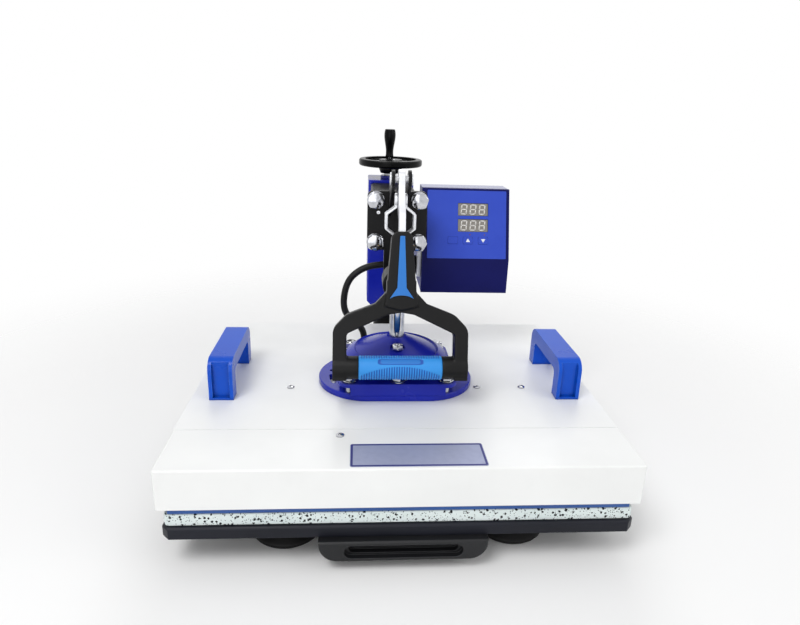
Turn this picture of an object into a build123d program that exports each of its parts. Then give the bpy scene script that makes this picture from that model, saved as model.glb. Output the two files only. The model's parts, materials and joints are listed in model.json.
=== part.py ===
# Swing-away heat press with a sliding lower tray, made of separate pieces, in millimetres.
# +Z is up and -Y faces the operator. The origin lies on the table, under the middle of the press.
# The press is closed: the heated platen rests on the pad and the toggle handle is down.
from build123d import *

import os
from math import asin, atan2, cos, degrees, radians, sin, tan

os.makedirs("parts", exist_ok=True)

# General clearances
sheet = 1.5
slide_gap = 0.3
pin_gap = 0.05
closing_gap = 0.3

# Heated head: cover, platen and rim
cover_width = 396.0
cover_depth = 322.0
cover_height = 36.0
cover_corner = 2.5
cover_edge = 1.5
seam_distance = 100.0
seam_gap = 0.5
seam_tongue = 12.0
rim_side_gap = 8.5
rim_end_gap = 3.0
rim_wall = 3.0
rim_show = 6.2
rim_lift = 0.5
rim_height = 9.5
platen_thickness = 12.0
boss_radius = 9.0
boss_gap = 0.5
boss_x = 62.0
boss_y = 34.0
element_side_gap = 17.5
element_end_gap = 23.0
element_thickness = 3.0
element_slots = 7
element_slot_width = 5.0
element_margin = 18.0
insulation_side_gap = 13.5
insulation_end_gap = 13.0
insulation_thickness = 19.0
insulation_corner = 6.0

# Table, base frame and sliding tray
foot_radius = 32.0
foot_top_radius = 24.0
foot_height = 12.0
foot_bevel = 2.0
foot_side = 5.0
foot_recess_radius = 9.0
foot_recess_depth = 6.0
foot_screw_radius = 3.0
foot_screw_head_radius = 6.5
foot_screw_head = 3.5
screw_end_gap = 1.0
foot_x = 101.0
front_foot_distance = 109.0
rear_foot_distance = 220.0
member_width = 30.0
frame_height = 10.0
frame_front_distance = 139.0
frame_back_distance = 256.0
frame_corner = 12.0
frame_chamfer = 1.0
rear_plate_depth = 100.0
rail_height = 8.0
rail_width = 20.0
rail_wall = 2.5
rail_floor = 2.0
rail_length = 255.0
rail_top_gap = 0.4
rail_front_gap = 2.0
runner_short = 10.0
tray_side_gap = 2.5
tray_thickness = 10.5
tray_skin = 3.0
tray_wall = 4.0
tray_corner = 6.0
tray_edge = 1.6
rail_land = 28.0
front_land = 34.0
pad_side_gap = 4.5
pad_end_gap = 3.0
pad_thickness = 11.0
pad_corner = 4.0
pad_round = 1.0
pull_width = 140.0
pull_height = 19.5
pull_corner = 16.0
pull_length = 27.0
pull_proud = 7.0
pull_round = 2.0
recess_width = 98.0
recess_height = 12.0
recess_steps = 3
recess_step_depth = 4.5
recess_step_in = 3.6

# Post, swinging column and pressure screw
post_distance = 206.0
post_radius = 18.0
post_flange_radius = 50.0
post_flange_height = 6.0
post_chamfer = 1.0
post_top = 218.7
post_bolt_circle = 76.0
post_bolt_radius = 4.0
post_bolt_head = 5.3
post_bolt_flats = 13.0
column_width = 56.0
column_wall = 4.0
column_bottom = 114.0
column_top = 272.0
column_chamfer = 5.0
column_round = 3.0
cap_thickness = 5.0
cap_boss_radius = 12.5
cap_boss_height = 3.5
bush_length = 30.0
upper_bush_top = 216.0
thrust_plate_thickness = 4.0
screw_radius = 8.0
screw_bottom = 231.0
screw_chamfer = 1.5
collar_radius = 11.5
collar_height = 3.4
wheel_radius = 40.0
wheel_rim = 7.5
wheel_rim_height = 8.5
wheel_web = 4.5
wheel_web_rise = 1.5
wheel_round = 2.5
wheel_hub_radius = 14.5
hub_bevel = 2.0
hub_bevel_height = 5.0
wheel_hub_bottom = 283.3
wheel_hub_top = 300.0
wheel_rim_bottom = 292.5
spindle_radius = 6.0
wheel_hole_radius = 8.5
wheel_hole_circle = 23.5
wheel_holes = 3
crank_offset = 31.0
crank_pin_radius = 3.0
crank_pin_length = 29.0
crank_height = 34.5
crank_foot_radius = 5.4
crank_waist_radius = 4.9
crank_top_radius = 7.4
crank_top_bevel = 1.2

# Arm, toggle bracket and rod guide
block_height = 28.0
block_bottom = 226.0
tongue_width = 30.0
tongue_height = 24.0
pressure_travel = 12.0
tongue_gap = 1.0
tongue_end_gap = 2.0
beam_width = 50.0
beam_height = 46.0
beam_wall = 5.0
beam_round = 3.0
beam_bottom = 228.0
beam_column_gap = 2.0
bracket_distance = 45.0
bracket_thickness = 6.0
bracket_width = 62.0
bracket_height = 62.0
bracket_bottom = 221.0
bracket_corner = 6.0
bracket_tab_width = 26.0
bracket_tab_bottom = 187.0
bolt_spacing_x = 45.0
bolt_spacing_z = 44.0
bolt_radius = 5.0
bolt_flats = 16.0
bolt_head = 6.4
bolt_washer_radius = 9.0
bolt_washer = 1.4
set_screw_radius = 2.0
set_screw_proud = 1.2
set_screw_in = 3.0
set_screw_drop = 13.0
ear_inner = 6.3
ear_thickness = 3.0
ear_radius = 8.5
ear_root = 26.0
ear_root_depth = 2.0
ear_root_top = 283.0
pivot_pin_radius = 4.0
pin_head_radius = 6.0
pin_head = 1.6
guide_radius = 16.0
guide_depth = 26.0
guide_z = 200.0
guide_web = 14.0
guide_web_height = 22.4
guide_round = 2.0
guide_bush_radius = 10.5
guide_bush_length = 29.0

# Toggle: lever, links and plunger rod
pivot_z = 301.0
crank_arm = 20.0
link_arm = 40.0
handle_opening = 100.0
lever_thickness = 6.0
lever_eye_radius = 9.0
lever_body_radius = 12.5
lever_body_drop = 16.0
lever_body_step = 1.0
lever_tang_width = 14.0
lever_tang_length = 34.0
slot_clearance = 0.4
slot_places = 16
link_pin_end = 0.1
link_thickness = 2.6
link_width = 12.0
link_eye_radius = 7.0
link_flare = 9.0
link_straight = 6.0
link_ramp = 7.0
link_inset = 0.3
rod_radius = 7.5
rod_tongue_depth = 16.0
rod_tongue_bottom = 218.5
rod_collar_radius = 9.5
rod_collar = 2.0
rod_spigot_radius = 5.0
rod_spigot = 10.0

# Handle, in the plane of the handle, measured down from the top of its neck
neck_y = -27.0
neck_z = 256.0
handle_tilt = 15.0
neck_half_top = 9.5
neck_half_bottom = 13.6
neck_corner = 4.0
neck_foot_half = 15.6
neck_foot_drop = 68.0
neck_end_drop = 72.0
neck_length = 55.0
neck_depth = 20.0
yoke_start_drop = 45.0
flare_half = 24.0
flare_drop = 66.0
shoulder_half = 50.0
shoulder_drop = 76.0
shoulder_radius = 12.0
yoke_inner_radius = 4.0
yoke_half_width = 62.5
yoke_side_drop = 89.0
arm_thickness = 12.5
yoke_depth = 16.0
crotch_half = 12.0
crotch_drop = 76.0
crotch_rise = 2.0
inner_corner_drop = 94.0
grip_drop = 126.0
grip_core_radius = 9.0
grip_radius = 11.2
sleeve_radius = 10.8
grip_bevel = 0.8
grip_length = 77.0
inlay_top_half = 2.2
inlay_bottom_half = 4.2
inlay_foot_half = 11.0
inlay_top_drop = 4.0
inlay_bottom_drop = 51.0
inlay_foot_drop = 61.0
inlay_foot_rise = 3.0
inlay_thickness = 1.2

# Saddle, dome and flange on the cover
flange_width = 158.0
flange_depth = 100.0
flange_thickness = 6.0
flange_hole_radius = 2.6
flange_slot_radius = 66.0
flange_slot_width = 5.0
flange_slot_start_angle = 184.0
flange_slot_angle = 14.0
flange_hole_angle = 174.0
flange_chamfer = 0.8
saddle_width = 116.0
saddle_depth = 100.0
saddle_rise = 12.0
saddle_thickness = 4.0
saddle_corner = 12.0
skirt_thickness = 3.0
stud_radius = 4.0
stud_x = 47.0
stud_y = 40.0
centre_stud_y = 41.0
nut_flats = 13.0
nut_height = 6.4
thin_nut = 4.2
washer_radius = 8.0
washer = 1.6
dome_neck_radius = 31.0
dome_neck = 6.0
dome_rim_radius = 51.0
dome_rim_rise = 9.0
dome_rim = 3.5
dome_rim_bevel = 3.0
dome_rim_bevel_drop = 0.6
dome_ridge_radius = 43.0
dome_ridge_rise = 18.0
dome_groove = 1.2
dome_groove_in = 1.5
dome_top_radius = 10.0
dome_top_rise = 31.0
dome_bolt_y = 22.0
dome_bolt_radius = 3.0
dome_bolt_flats = 10.0
dome_bolt_head = 4.5
dome_bolt_length = 11.0
dome_bolt_seat = 25.0
dome_seat_radius = 7.5
side_handle_inset = 29.5
side_handle_width = 23.0
side_handle_front = 47.0
side_handle_back = 50.0
side_handle_height = 41.0
side_handle_bar = 14.0
side_handle_corner = 12.0
side_handle_inner_corner = 6.0
side_handle_rib = 3.5
side_handle_pocket = 4.0
side_handle_pocket_end = 2.0
cover_screw_radius = 2.0
cover_screw_head_radius = 3.6
cover_screw_head = 1.8
cover_screw_length = 4.0
cover_screw_round = 0.8
cover_screw_places = ((-106.0, -20.0), (83.0, -20.0), (129.0, -20.0), (-54.0, -111.0))

# Control box on the right of the arm
box_side_gap = 4.5
box_width = 96.0
box_foot_distance = 60.0
box_head_distance = 84.0
box_back_distance = 115.0
box_bottom = 170.0
box_edge = 208.0
box_top = 282.0
box_front_depth = 5.0
display_x = 7.7
display_width = 33.0
display_height = 13.5
upper_display_up = 55.0
lower_display_up = 37.5
window_gap = 0.25
display_recess = 0.4
key_up = 21.0
key_places = (("key_set", -14.5), ("key_up", 2.2), ("key_down", 19.0))
key_width = 11.0
key_height = 8.0
key_proud = 0.6
key_length = 4.2
key_travel = 0.5
key_corner = 1.8
key_hole_corner = 2.0
key_round = 0.4
board_width = 84.0
board_height = 62.0
board_up = 40.0
board_thickness = 1.6
board_gap = 0.6
rocker_x = 104.0
rocker_z = 245.0
rocker_width = 13.0
rocker_height = 21.0
rocker_proud = 2.5
rocker_inside = 5.0
rocker_gap = 0.6
rocker_taper = 3.0
rocker_end = 0.5
rocker_dip = 1.5
rocker_bezel = 1.2
rocker_bezel_width = 3.0
rocker_bezel_corner = 1.5
rocker_cheek = 1.2
rocker_cheek_depth = 5.0
rocker_cheek_height = 8.0
rocker_pin_radius = 1.0
rocker_pivot_depth = 2.0
inlet_x = 62.0
inlet_z = 200.0
inlet_width = 28.0
inlet_height = 21.0
inlet_flange = 5.0
inlet_flange_thickness = 2.0
inlet_body = 16.0
inlet_pocket = 12.0
inlet_wall = 1.5
inlet_corner = 3.0
inlet_pocket_corner = 4.0
inlet_pin = 2.0
inlet_pin_spacing = 7.0
inlet_pin_rise = 3.0
inlet_pin_root = 1.0
box_bracket_front = 66.0
box_bracket_back = 112.0
box_bracket_bottom = 186.0
box_bracket_top = 270.0

# Heater lead between the box bracket and the cover
lead_radius = 3.75
gland_hex_flats = 19.0
gland_hex_height = 5.0
gland_radius = 8.0
gland_tip_radius = 5.6
gland_length = 16.0
lower_gland_length = 12.0
upper_gland_y = 82.0
upper_gland_z = 196.0
lower_gland_x = -32.0
lower_gland_y = 78.0
lead_bends = (
    (-14.0, 82.0, 196.0),
    (-37.0, 80.0, 191.0),
    (-54.0, 78.5, 174.0),
    (-57.0, 77.5, 137.5),
)
lead_last_rise = 15.0

# Places that follow from the sizes
frame_z = foot_height
frame_top = frame_z + frame_height
tray_z = frame_top + rail_height
tray_top = tray_z + tray_thickness
pad_top = tray_top + pad_thickness
platen_z = pad_top + closing_gap
platen_top = platen_z + platen_thickness
cover_z = platen_z + rim_show
cover_top_z = cover_z + cover_height
flange_top = cover_top_z + flange_thickness
saddle_top = flange_top + saddle_rise
dome_top = saddle_top + dome_top_rise

rim_width = cover_width - 2 * rim_side_gap
rim_depth = cover_depth - 2 * rim_end_gap
element_width = rim_width - 2 * element_side_gap
element_depth = rim_depth - 2 * element_end_gap
insulation_width = rim_width - 2 * insulation_side_gap
insulation_depth = rim_depth - 2 * insulation_end_gap
tray_width = cover_width - 2 * tray_side_gap
tray_depth = cover_depth
pad_width = cover_width - 2 * pad_side_gap
pad_depth = cover_depth - 2 * pad_end_gap
side_handle_x = cover_width / 2 - side_handle_inset

front_reach = cover_depth / 2 + pull_proud
rod_y = (front_reach - frame_back_distance) / 2
post_y = rod_y + post_distance
front_y = rod_y - cover_depth / 2
back_y = rod_y + cover_depth / 2
seam_y = rod_y - seam_distance

frame_front = rod_y - frame_front_distance
frame_back = rod_y + frame_back_distance
frame_width = 2 * foot_x + member_width
foot_points = [
    (side * foot_x, rod_y + distance)
    for side in (-1, 1)
    for distance in (-front_foot_distance, rear_foot_distance)
]
post_bolt_points = [
    (post_bolt_circle / 2 * cos(radians(angle)), post_y + post_bolt_circle / 2 * sin(radians(angle)))
    for angle in (45, 135, 225, 315)
]
column_front = post_y - column_width / 2
column_inner = column_width - 2 * column_wall
bracket_front = rod_y + bracket_distance
bracket_back = bracket_front + bracket_thickness
block_size = column_inner - 2 * slide_gap
block_mid_z = block_bottom + block_height / 2
beam_back = column_front - beam_column_gap
beam_right = beam_width / 2
box_left = beam_right + box_side_gap

pin_b_z = pivot_z - crank_arm
pin_c_z = pin_b_z - link_arm
link_angle = degrees(asin(crank_arm * sin(radians(handle_opening)) / link_arm))
platen_lift = crank_arm + link_arm - (
    crank_arm * cos(radians(handle_opening)) + link_arm * cos(radians(link_angle))
)


def facing_front(y):
    """Plane across the press at y, with its normal towards the operator."""
    return Plane.XZ.offset(-y)


def hexagons(plane, points, across_flats):
    """Hexagonal bolt-head outlines at the points of a plane."""
    with BuildSketch(plane) as outlines:
        with Locations(*points):
            RegularPolygon(across_flats / 2, 6, major_radius=False)
    return outlines.sketch


def circles(plane, points, radius):
    """Round outlines at the points of a plane."""
    with BuildSketch(plane) as outlines:
        with Locations(*points):
            Circle(radius)
    return outlines.sketch


def save(piece, name):
    """Label a finished piece and write its STEP file."""
    piece.part.label = name
    export_step(piece.part, f"parts/{name}.step")


# Base frame: two side members, a front bar and a plate under the post
window_length = frame_back_distance + frame_front_distance - member_width - rear_plate_depth
window_mid_y = frame_front + member_width + window_length / 2
with BuildPart() as base_frame:
    with BuildSketch(Plane.XY.offset(frame_z)):
        with Locations((0, (frame_front + frame_back) / 2)):
            RectangleRounded(frame_width, frame_back - frame_front, frame_corner)
        with Locations((0, window_mid_y)):
            RectangleRounded(frame_width - 2 * member_width, window_length, frame_corner, mode=Mode.SUBTRACT)
        with Locations(*foot_points):
            Circle(foot_screw_radius + pin_gap, mode=Mode.SUBTRACT)
        with Locations(*post_bolt_points):
            Circle(post_bolt_radius + pin_gap, mode=Mode.SUBTRACT)
    extrude(amount=frame_height)
    chamfer(base_frame.faces().sort_by(Axis.Z)[-1].outer_wire().edges(), frame_chamfer)

with BuildPart() as rubber_feet:
    for foot_place in foot_points:
        foot_plane = Plane(origin=(foot_place[0], foot_place[1], 0), x_dir=(1, 0, 0), z_dir=(0, -1, 0))
        with BuildSketch(foot_plane):
            with BuildLine():
                Polyline(
                    (foot_screw_radius + pin_gap, foot_recess_depth),
                    (foot_recess_radius, foot_recess_depth),
                    (foot_recess_radius, 0),
                    (foot_radius - foot_bevel, 0),
                    (foot_radius, foot_bevel),
                    (foot_radius, foot_side),
                    (foot_top_radius, foot_height),
                    (foot_screw_radius + pin_gap, foot_height),
                    close=True,
                )
            make_face()
        revolve(axis=Axis((foot_place[0], foot_place[1], 0), (0, 0, 1)))

with BuildPart() as foot_screws:
    foot_face = Plane.XY.offset(foot_recess_depth)
    foot_screw_length = frame_top - foot_recess_depth - screw_end_gap
    extrude(circles(foot_face, foot_points, foot_screw_radius), amount=foot_screw_length)
    extrude(circles(foot_face, foot_points, foot_screw_head_radius), amount=-foot_screw_head)

# Post with its bolted flange
with BuildPart() as post:
    with BuildSketch(Plane.XY.offset(frame_top)):
        with Locations((0, post_y)):
            Circle(post_flange_radius)
        with Locations(*post_bolt_points):
            Circle(post_bolt_radius + pin_gap, mode=Mode.SUBTRACT)
    extrude(amount=post_flange_height)
    with BuildSketch(Plane.XY.offset(frame_top)):
        with Locations((0, post_y)):
            Circle(post_radius)
    extrude(amount=post_top - frame_top)
    chamfer(post.faces().sort_by(Axis.Z)[-1].edges(), post_chamfer)

with BuildPart() as post_bolts:
    flange_face = Plane.XY.offset(frame_top + post_flange_height)
    post_bolt_length = post_flange_height + frame_height - screw_end_gap
    extrude(circles(flange_face, post_bolt_points, post_bolt_radius), amount=-post_bolt_length)
    extrude(hexagons(flange_face, post_bolt_points, post_bolt_flats), amount=post_bolt_head)

# Fixed rails on the side members, and the runners under the tray
rail_front = frame_front + rail_front_gap
rail_mid_y = rail_front + rail_length / 2
rail_points = [(-foot_x, rail_mid_y), (foot_x, rail_mid_y)]
with BuildPart() as fixed_rails:
    with BuildSketch(Plane.XY.offset(frame_top)):
        with Locations(*rail_points):
            Rectangle(rail_width, rail_length)
    extrude(amount=rail_height - rail_top_gap)
    with BuildSketch(Plane.XY.offset(frame_top + rail_floor)):
        with Locations(*rail_points):
            Rectangle(rail_width - 2 * rail_wall, rail_length)
    extrude(amount=rail_height, mode=Mode.SUBTRACT)

with BuildPart() as tray_runners:
    with BuildSketch(Plane.XY.offset(tray_z)):
        with Locations(*rail_points):
            Rectangle(rail_width - 2 * rail_wall - 2 * slide_gap, rail_length - runner_short)
    extrude(amount=-(rail_height - rail_floor - slide_gap))

# Lower tray, its pad and its pull
with BuildPart() as lower_tray:
    with BuildSketch(Plane.XY.offset(tray_z)):
        with Locations((0, rod_y)):
            Rectangle(tray_width, tray_depth)
    extrude(amount=tray_thickness)
    chamfer(lower_tray.edges().filter_by(Axis.Z).group_by(Axis.Y)[0], tray_corner)
    chamfer(lower_tray.faces().sort_by(Axis.Z)[-1].edges(), tray_edge)
    pocket_front = front_y + front_land
    pocket_back = back_y - tray_wall
    pocket_length = pocket_back - pocket_front
    inner_half = foot_x - rail_land / 2
    outer_start = foot_x + rail_land / 2
    outer_width = tray_width / 2 - tray_wall - outer_start
    with BuildSketch(Plane.XY.offset(tray_z)):
        with Locations((0, pocket_front + pocket_length / 2)):
            Rectangle(2 * inner_half, pocket_length)
        with Locations(
            (outer_start + outer_width / 2, pocket_front + pocket_length / 2),
            (-outer_start - outer_width / 2, pocket_front + pocket_length / 2),
        ):
            Rectangle(outer_width, pocket_length)
    extrude(amount=tray_thickness - tray_skin, mode=Mode.SUBTRACT)

with BuildPart() as silicone_pad:
    with BuildSketch(Plane.XY.offset(tray_top)):
        with Locations((0, rod_y)):
            RectangleRounded(pad_width, pad_depth, pad_corner)
    extrude(amount=pad_thickness)
    fillet(silicone_pad.faces().sort_by(Axis.Z)[-1].edges(), pad_round)

pull_front = front_y - pull_proud
pull_back = pull_front + pull_length
with BuildPart() as drawer_pull:
    with BuildSketch(facing_front(pull_back)) as pull_outline:
        with Locations((0, tray_z - pull_height / 2)):
            Rectangle(pull_width, pull_height)
        fillet(pull_outline.vertices().group_by(Axis.Y)[0], pull_corner)
    extrude(amount=pull_length)
    fillet(drawer_pull.faces().sort_by(Axis.Y)[0].edges(), pull_round)
    for step in range(recess_steps):
        inset = recess_step_in * step
        with BuildSketch(facing_front(pull_front)):
            with Locations((0, tray_z - pull_height / 2)):
                SlotOverall(recess_width - 2 * inset, recess_height - inset)
        extrude(amount=-recess_step_depth * (step + 1), mode=Mode.SUBTRACT)

# Column that swings on the post
with BuildPart() as column_tube:
    with BuildSketch(Plane.XY.offset(column_bottom)):
        with Locations((0, post_y)):
            RectangleRounded(column_width, column_width, column_round)
            Rectangle(column_inner, column_inner, mode=Mode.SUBTRACT)
    extrude(amount=column_top - column_bottom)
    slot_height = tongue_height + pressure_travel + 2 * tongue_end_gap
    slot_bottom = block_mid_z - tongue_height / 2 - tongue_end_gap
    with Locations((0, column_front, slot_bottom + slot_height / 2)):
        Box(tongue_width + 2 * tongue_gap, 3 * column_wall, slot_height, mode=Mode.SUBTRACT)
    with BuildSketch(facing_front(post_y + column_width)):
        for side in (-1, 1):
            with BuildLine():
                Polyline(
                    (side * column_width / 2, column_bottom),
                    (side * (column_width / 2 - column_chamfer), column_bottom),
                    (side * column_width / 2, column_bottom + column_chamfer),
                    close=True,
                )
            make_face()
    extrude(amount=2 * column_width, mode=Mode.SUBTRACT)

with BuildPart() as column_cap:
    with BuildSketch(Plane.XY.offset(column_top)):
        with Locations((0, post_y)):
            RectangleRounded(column_width, column_width, column_round)
    extrude(amount=cap_thickness)
    with BuildSketch(Plane.XY.offset(column_top + cap_thickness)):
        with Locations((0, post_y)):
            Circle(cap_boss_radius)
    extrude(amount=cap_boss_height)
    with Locations((0, post_y, column_top)):
        Cylinder(screw_radius + pin_gap, 4 * cap_thickness, mode=Mode.SUBTRACT)

with BuildPart() as post_bushes:
    for bush_bottom in (column_bottom, upper_bush_top - bush_length):
        with BuildSketch(Plane.XY.offset(bush_bottom)):
            with Locations((0, post_y)):
                Rectangle(column_inner - 2 * column_chamfer, column_inner - 2 * column_chamfer)
                for angle in (0, 90):
                    Rectangle(column_inner, column_inner / 2, rotation=angle)
                Circle(post_radius + pin_gap, mode=Mode.SUBTRACT)
        extrude(amount=bush_length)

with BuildPart() as thrust_plate:
    with BuildSketch(Plane.XY.offset(post_top + slide_gap)):
        with Locations((0, post_y)):
            Rectangle(column_inner, column_inner)
    extrude(amount=thrust_plate_thickness)

# Pressure screw, handwheel and its crank grip
collar_top = column_top - slide_gap
with BuildPart() as pressure_screw:
    with BuildSketch(Plane.XY.offset(screw_bottom)):
        with Locations((0, post_y)):
            Circle(screw_radius)
    extrude(amount=wheel_hub_bottom - screw_bottom)
    chamfer(pressure_screw.faces().sort_by(Axis.Z)[0].edges(), screw_chamfer)
    with BuildSketch(Plane.XY.offset(collar_top)):
        with Locations((0, post_y)):
            Circle(collar_radius)
    extrude(amount=-collar_height)
    with BuildSketch(Plane.XY.offset(wheel_hub_bottom)):
        with Locations((0, post_y)):
            Circle(spindle_radius)
    extrude(amount=wheel_hub_top - wheel_hub_bottom)

web_z = wheel_rim_bottom + wheel_web_rise
wheel_inner = wheel_radius - wheel_rim
with BuildPart() as handwheel:
    with BuildSketch(Plane(origin=(0, post_y, 0), x_dir=(1, 0, 0), z_dir=(0, -1, 0))) as wheel_profile:
        with BuildLine():
            Polyline(
                (spindle_radius, wheel_hub_bottom),
                (wheel_hub_radius - hub_bevel, wheel_hub_bottom),
                (wheel_hub_radius, wheel_hub_bottom + hub_bevel_height),
                (wheel_hub_radius, web_z),
                (wheel_inner, web_z),
                (wheel_inner, wheel_rim_bottom),
                (wheel_radius, wheel_rim_bottom),
                (wheel_radius, wheel_rim_bottom + wheel_rim_height),
                (wheel_inner, wheel_rim_bottom + wheel_rim_height),
                (wheel_inner, web_z + wheel_web),
                (wheel_hub_radius, web_z + wheel_web),
                (wheel_hub_radius, wheel_hub_top),
                (spindle_radius, wheel_hub_top),
                close=True,
            )
        make_face()
    revolve(axis=Axis((0, post_y, 0), (0, 0, 1)))
    wheel_edges = handwheel.edges().filter_by(GeomType.CIRCLE)
    fillet(wheel_edges.filter_by(lambda edge: abs(edge.radius - wheel_radius) < 0.01), wheel_round)
    with BuildSketch(Plane.XY.offset(web_z)):
        with Locations((0, post_y)):
            with PolarLocations(wheel_hole_circle, wheel_holes, start_angle=30):
                Circle(wheel_hole_radius)
    extrude(amount=wheel_web, mode=Mode.SUBTRACT)
    with Locations((0, post_y + crank_offset, web_z + wheel_web / 2)):
        Cylinder(crank_foot_radius, wheel_web)
        Cylinder(crank_pin_radius, 4 * wheel_web, mode=Mode.SUBTRACT)

crank_y = post_y + crank_offset
crank_bottom = wheel_rim_bottom + wheel_rim_height + slide_gap
with BuildPart() as crank_pin:
    crank_pin_height = crank_bottom - web_z + crank_pin_length
    with Locations((0, crank_y, web_z)):
        Cylinder(crank_pin_radius, crank_pin_height, align=(Align.CENTER, Align.CENTER, Align.MIN))

with BuildPart() as crank_grip:
    with BuildSketch(Plane(origin=(0, crank_y, crank_bottom), x_dir=(1, 0, 0), z_dir=(0, -1, 0))):
        with BuildLine():
            bottom_line = Polyline((0, 0), (crank_foot_radius, 0))
            Spline(
                bottom_line @ 1,
                (crank_waist_radius, 0.22 * crank_height),
                (crank_top_radius, 0.8 * crank_height),
                (crank_top_radius - crank_top_bevel, crank_height),
            )
            Polyline((crank_top_radius - crank_top_bevel, crank_height), (0, crank_height), (0, 0))
        make_face()
    revolve(axis=Axis((0, crank_y, 0), (0, 0, 1)))
    with Locations((0, crank_y, crank_bottom)):
        Cylinder(
            crank_pin_radius + pin_gap, crank_pin_length + slide_gap,
            align=(Align.CENTER, Align.CENTER, Align.MIN), mode=Mode.SUBTRACT,
        )

# Arm that slides in the column, with the toggle bracket at its front
with BuildPart() as slide_block:
    with Locations((0, post_y, block_mid_z)):
        Box(block_size, block_size, block_height)
    tongue_length = post_y - block_size / 2 - beam_back
    with Locations((0, beam_back + tongue_length / 2, block_mid_z)):
        Box(tongue_width, tongue_length, tongue_height)
    with Locations((0, post_y, block_mid_z)):
        Cylinder(screw_radius + pin_gap, block_height, mode=Mode.SUBTRACT)

beam_mid_z = beam_bottom + beam_height / 2
with BuildPart() as arm_beam:
    with BuildSketch(facing_front(beam_back)):
        with Locations((0, beam_mid_z)):
            RectangleRounded(beam_width, beam_height, beam_round)
    extrude(amount=beam_back - bracket_back)
    with BuildSketch(facing_front(beam_back - beam_wall)):
        with Locations((0, beam_mid_z)):
            Rectangle(beam_width - 2 * beam_wall, beam_height - 2 * beam_wall)
    extrude(amount=beam_back - bracket_back - 2 * beam_wall, mode=Mode.SUBTRACT)

bracket_mid_z = bracket_bottom + bracket_height / 2
bolt_points = [
    (x * bolt_spacing_x / 2, bracket_mid_z + z * bolt_spacing_z / 2) for x in (-1, 1) for z in (-1, 1)
]
set_screw_point = (-bolt_spacing_x / 2 + set_screw_in, bracket_mid_z + bolt_spacing_z / 2 - set_screw_drop)
with BuildPart() as toggle_bracket:
    with BuildSketch(facing_front(bracket_back)):
        with Locations((0, bracket_mid_z)):
            RectangleRounded(bracket_width, bracket_height, bracket_corner)
        with Locations((0, (bracket_tab_bottom + bracket_mid_z) / 2)):
            Rectangle(bracket_tab_width, bracket_mid_z - bracket_tab_bottom)
    extrude(amount=bracket_thickness)
    for side in (-1, 1):
        ear_plane = Plane.YZ.offset(side * ear_inner)
        with BuildSketch(ear_plane):
            with Locations((rod_y, pivot_z)):
                Circle(ear_radius)
            with Locations((bracket_front + ear_root_depth / 2, ear_root_top - ear_root / 2)):
                Rectangle(ear_root_depth, ear_root)
            make_hull()
        extrude(amount=side * ear_thickness)
    with Locations((0, rod_y, pivot_z)):
        Cylinder(pivot_pin_radius + pin_gap, 4 * ear_inner, rotation=(0, 90, 0), mode=Mode.SUBTRACT)
    bolt_holes = circles(facing_front(bracket_back), bolt_points, bolt_radius + pin_gap)
    extrude(bolt_holes, amount=bracket_thickness, mode=Mode.SUBTRACT)

with BuildPart() as bracket_bolts:
    extrude(circles(facing_front(bracket_front), bolt_points, bolt_radius), amount=-bracket_thickness)
    extrude(circles(facing_front(bracket_front), bolt_points, bolt_washer_radius), amount=bolt_washer)
    extrude(hexagons(facing_front(bracket_front - bolt_washer), bolt_points, bolt_flats), amount=bolt_head)
    extrude(circles(facing_front(bracket_front), [set_screw_point], set_screw_radius), amount=set_screw_proud)

with BuildPart() as lever_pin:
    ear_outer = ear_inner + ear_thickness
    with Locations((0, rod_y, pivot_z)):
        Cylinder(pivot_pin_radius, 2 * ear_outer, rotation=(0, 90, 0))
    for side in (-1, 1):
        with Locations((side * (ear_outer + pin_head / 2), rod_y, pivot_z)):
            Cylinder(pin_head_radius, pin_head, rotation=(0, 90, 0))

with BuildPart() as rod_guide:
    with BuildSketch(facing_front(rod_y + guide_depth / 2)):
        with Locations((0, guide_z)):
            Circle(guide_radius)
    extrude(amount=guide_depth)
    fillet(rod_guide.faces().sort_by(Axis.Y)[0].edges(), guide_round)
    with Locations((0, (rod_y + bracket_front) / 2, guide_z)):
        Box(guide_web, bracket_front - rod_y, guide_web_height)
    with Locations((0, rod_y, guide_z)):
        Cylinder(guide_bush_radius, 4 * guide_radius, mode=Mode.SUBTRACT)

with BuildPart() as guide_bush:
    with Locations((0, rod_y, guide_z)):
        Cylinder(guide_bush_radius, guide_bush_length)
        Cylinder(rod_radius + pin_gap, 2 * guide_bush_length, mode=Mode.SUBTRACT)

# Lever plate with the slot that leaves room for the open pivot
pin_places = []
for place_index in range(slot_places + 1):
    opening = place_index / slot_places
    turned = radians(handle_opening * opening)
    leaned = radians(link_angle * opening)
    pin_back = -link_arm * sin(leaned)
    pin_up = pin_c_z + platen_lift * opening + link_arm * cos(leaned) - pivot_z
    pin_places.append(
        (
            rod_y + pin_back * cos(turned) - pin_up * sin(turned),
            pivot_z + pin_back * sin(turned) + pin_up * cos(turned),
        )
    )
tilt = radians(handle_tilt)
handle_plane = Plane(origin=(0, rod_y + neck_y, neck_z), x_dir=(1, 0, 0), z_dir=(0, -cos(tilt), sin(tilt)))


def handle_place(down):
    """Place in the side view of the press, at a distance down the middle of the handle."""
    return (rod_y + neck_y - down * sin(tilt), neck_z - down * cos(tilt))


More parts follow.
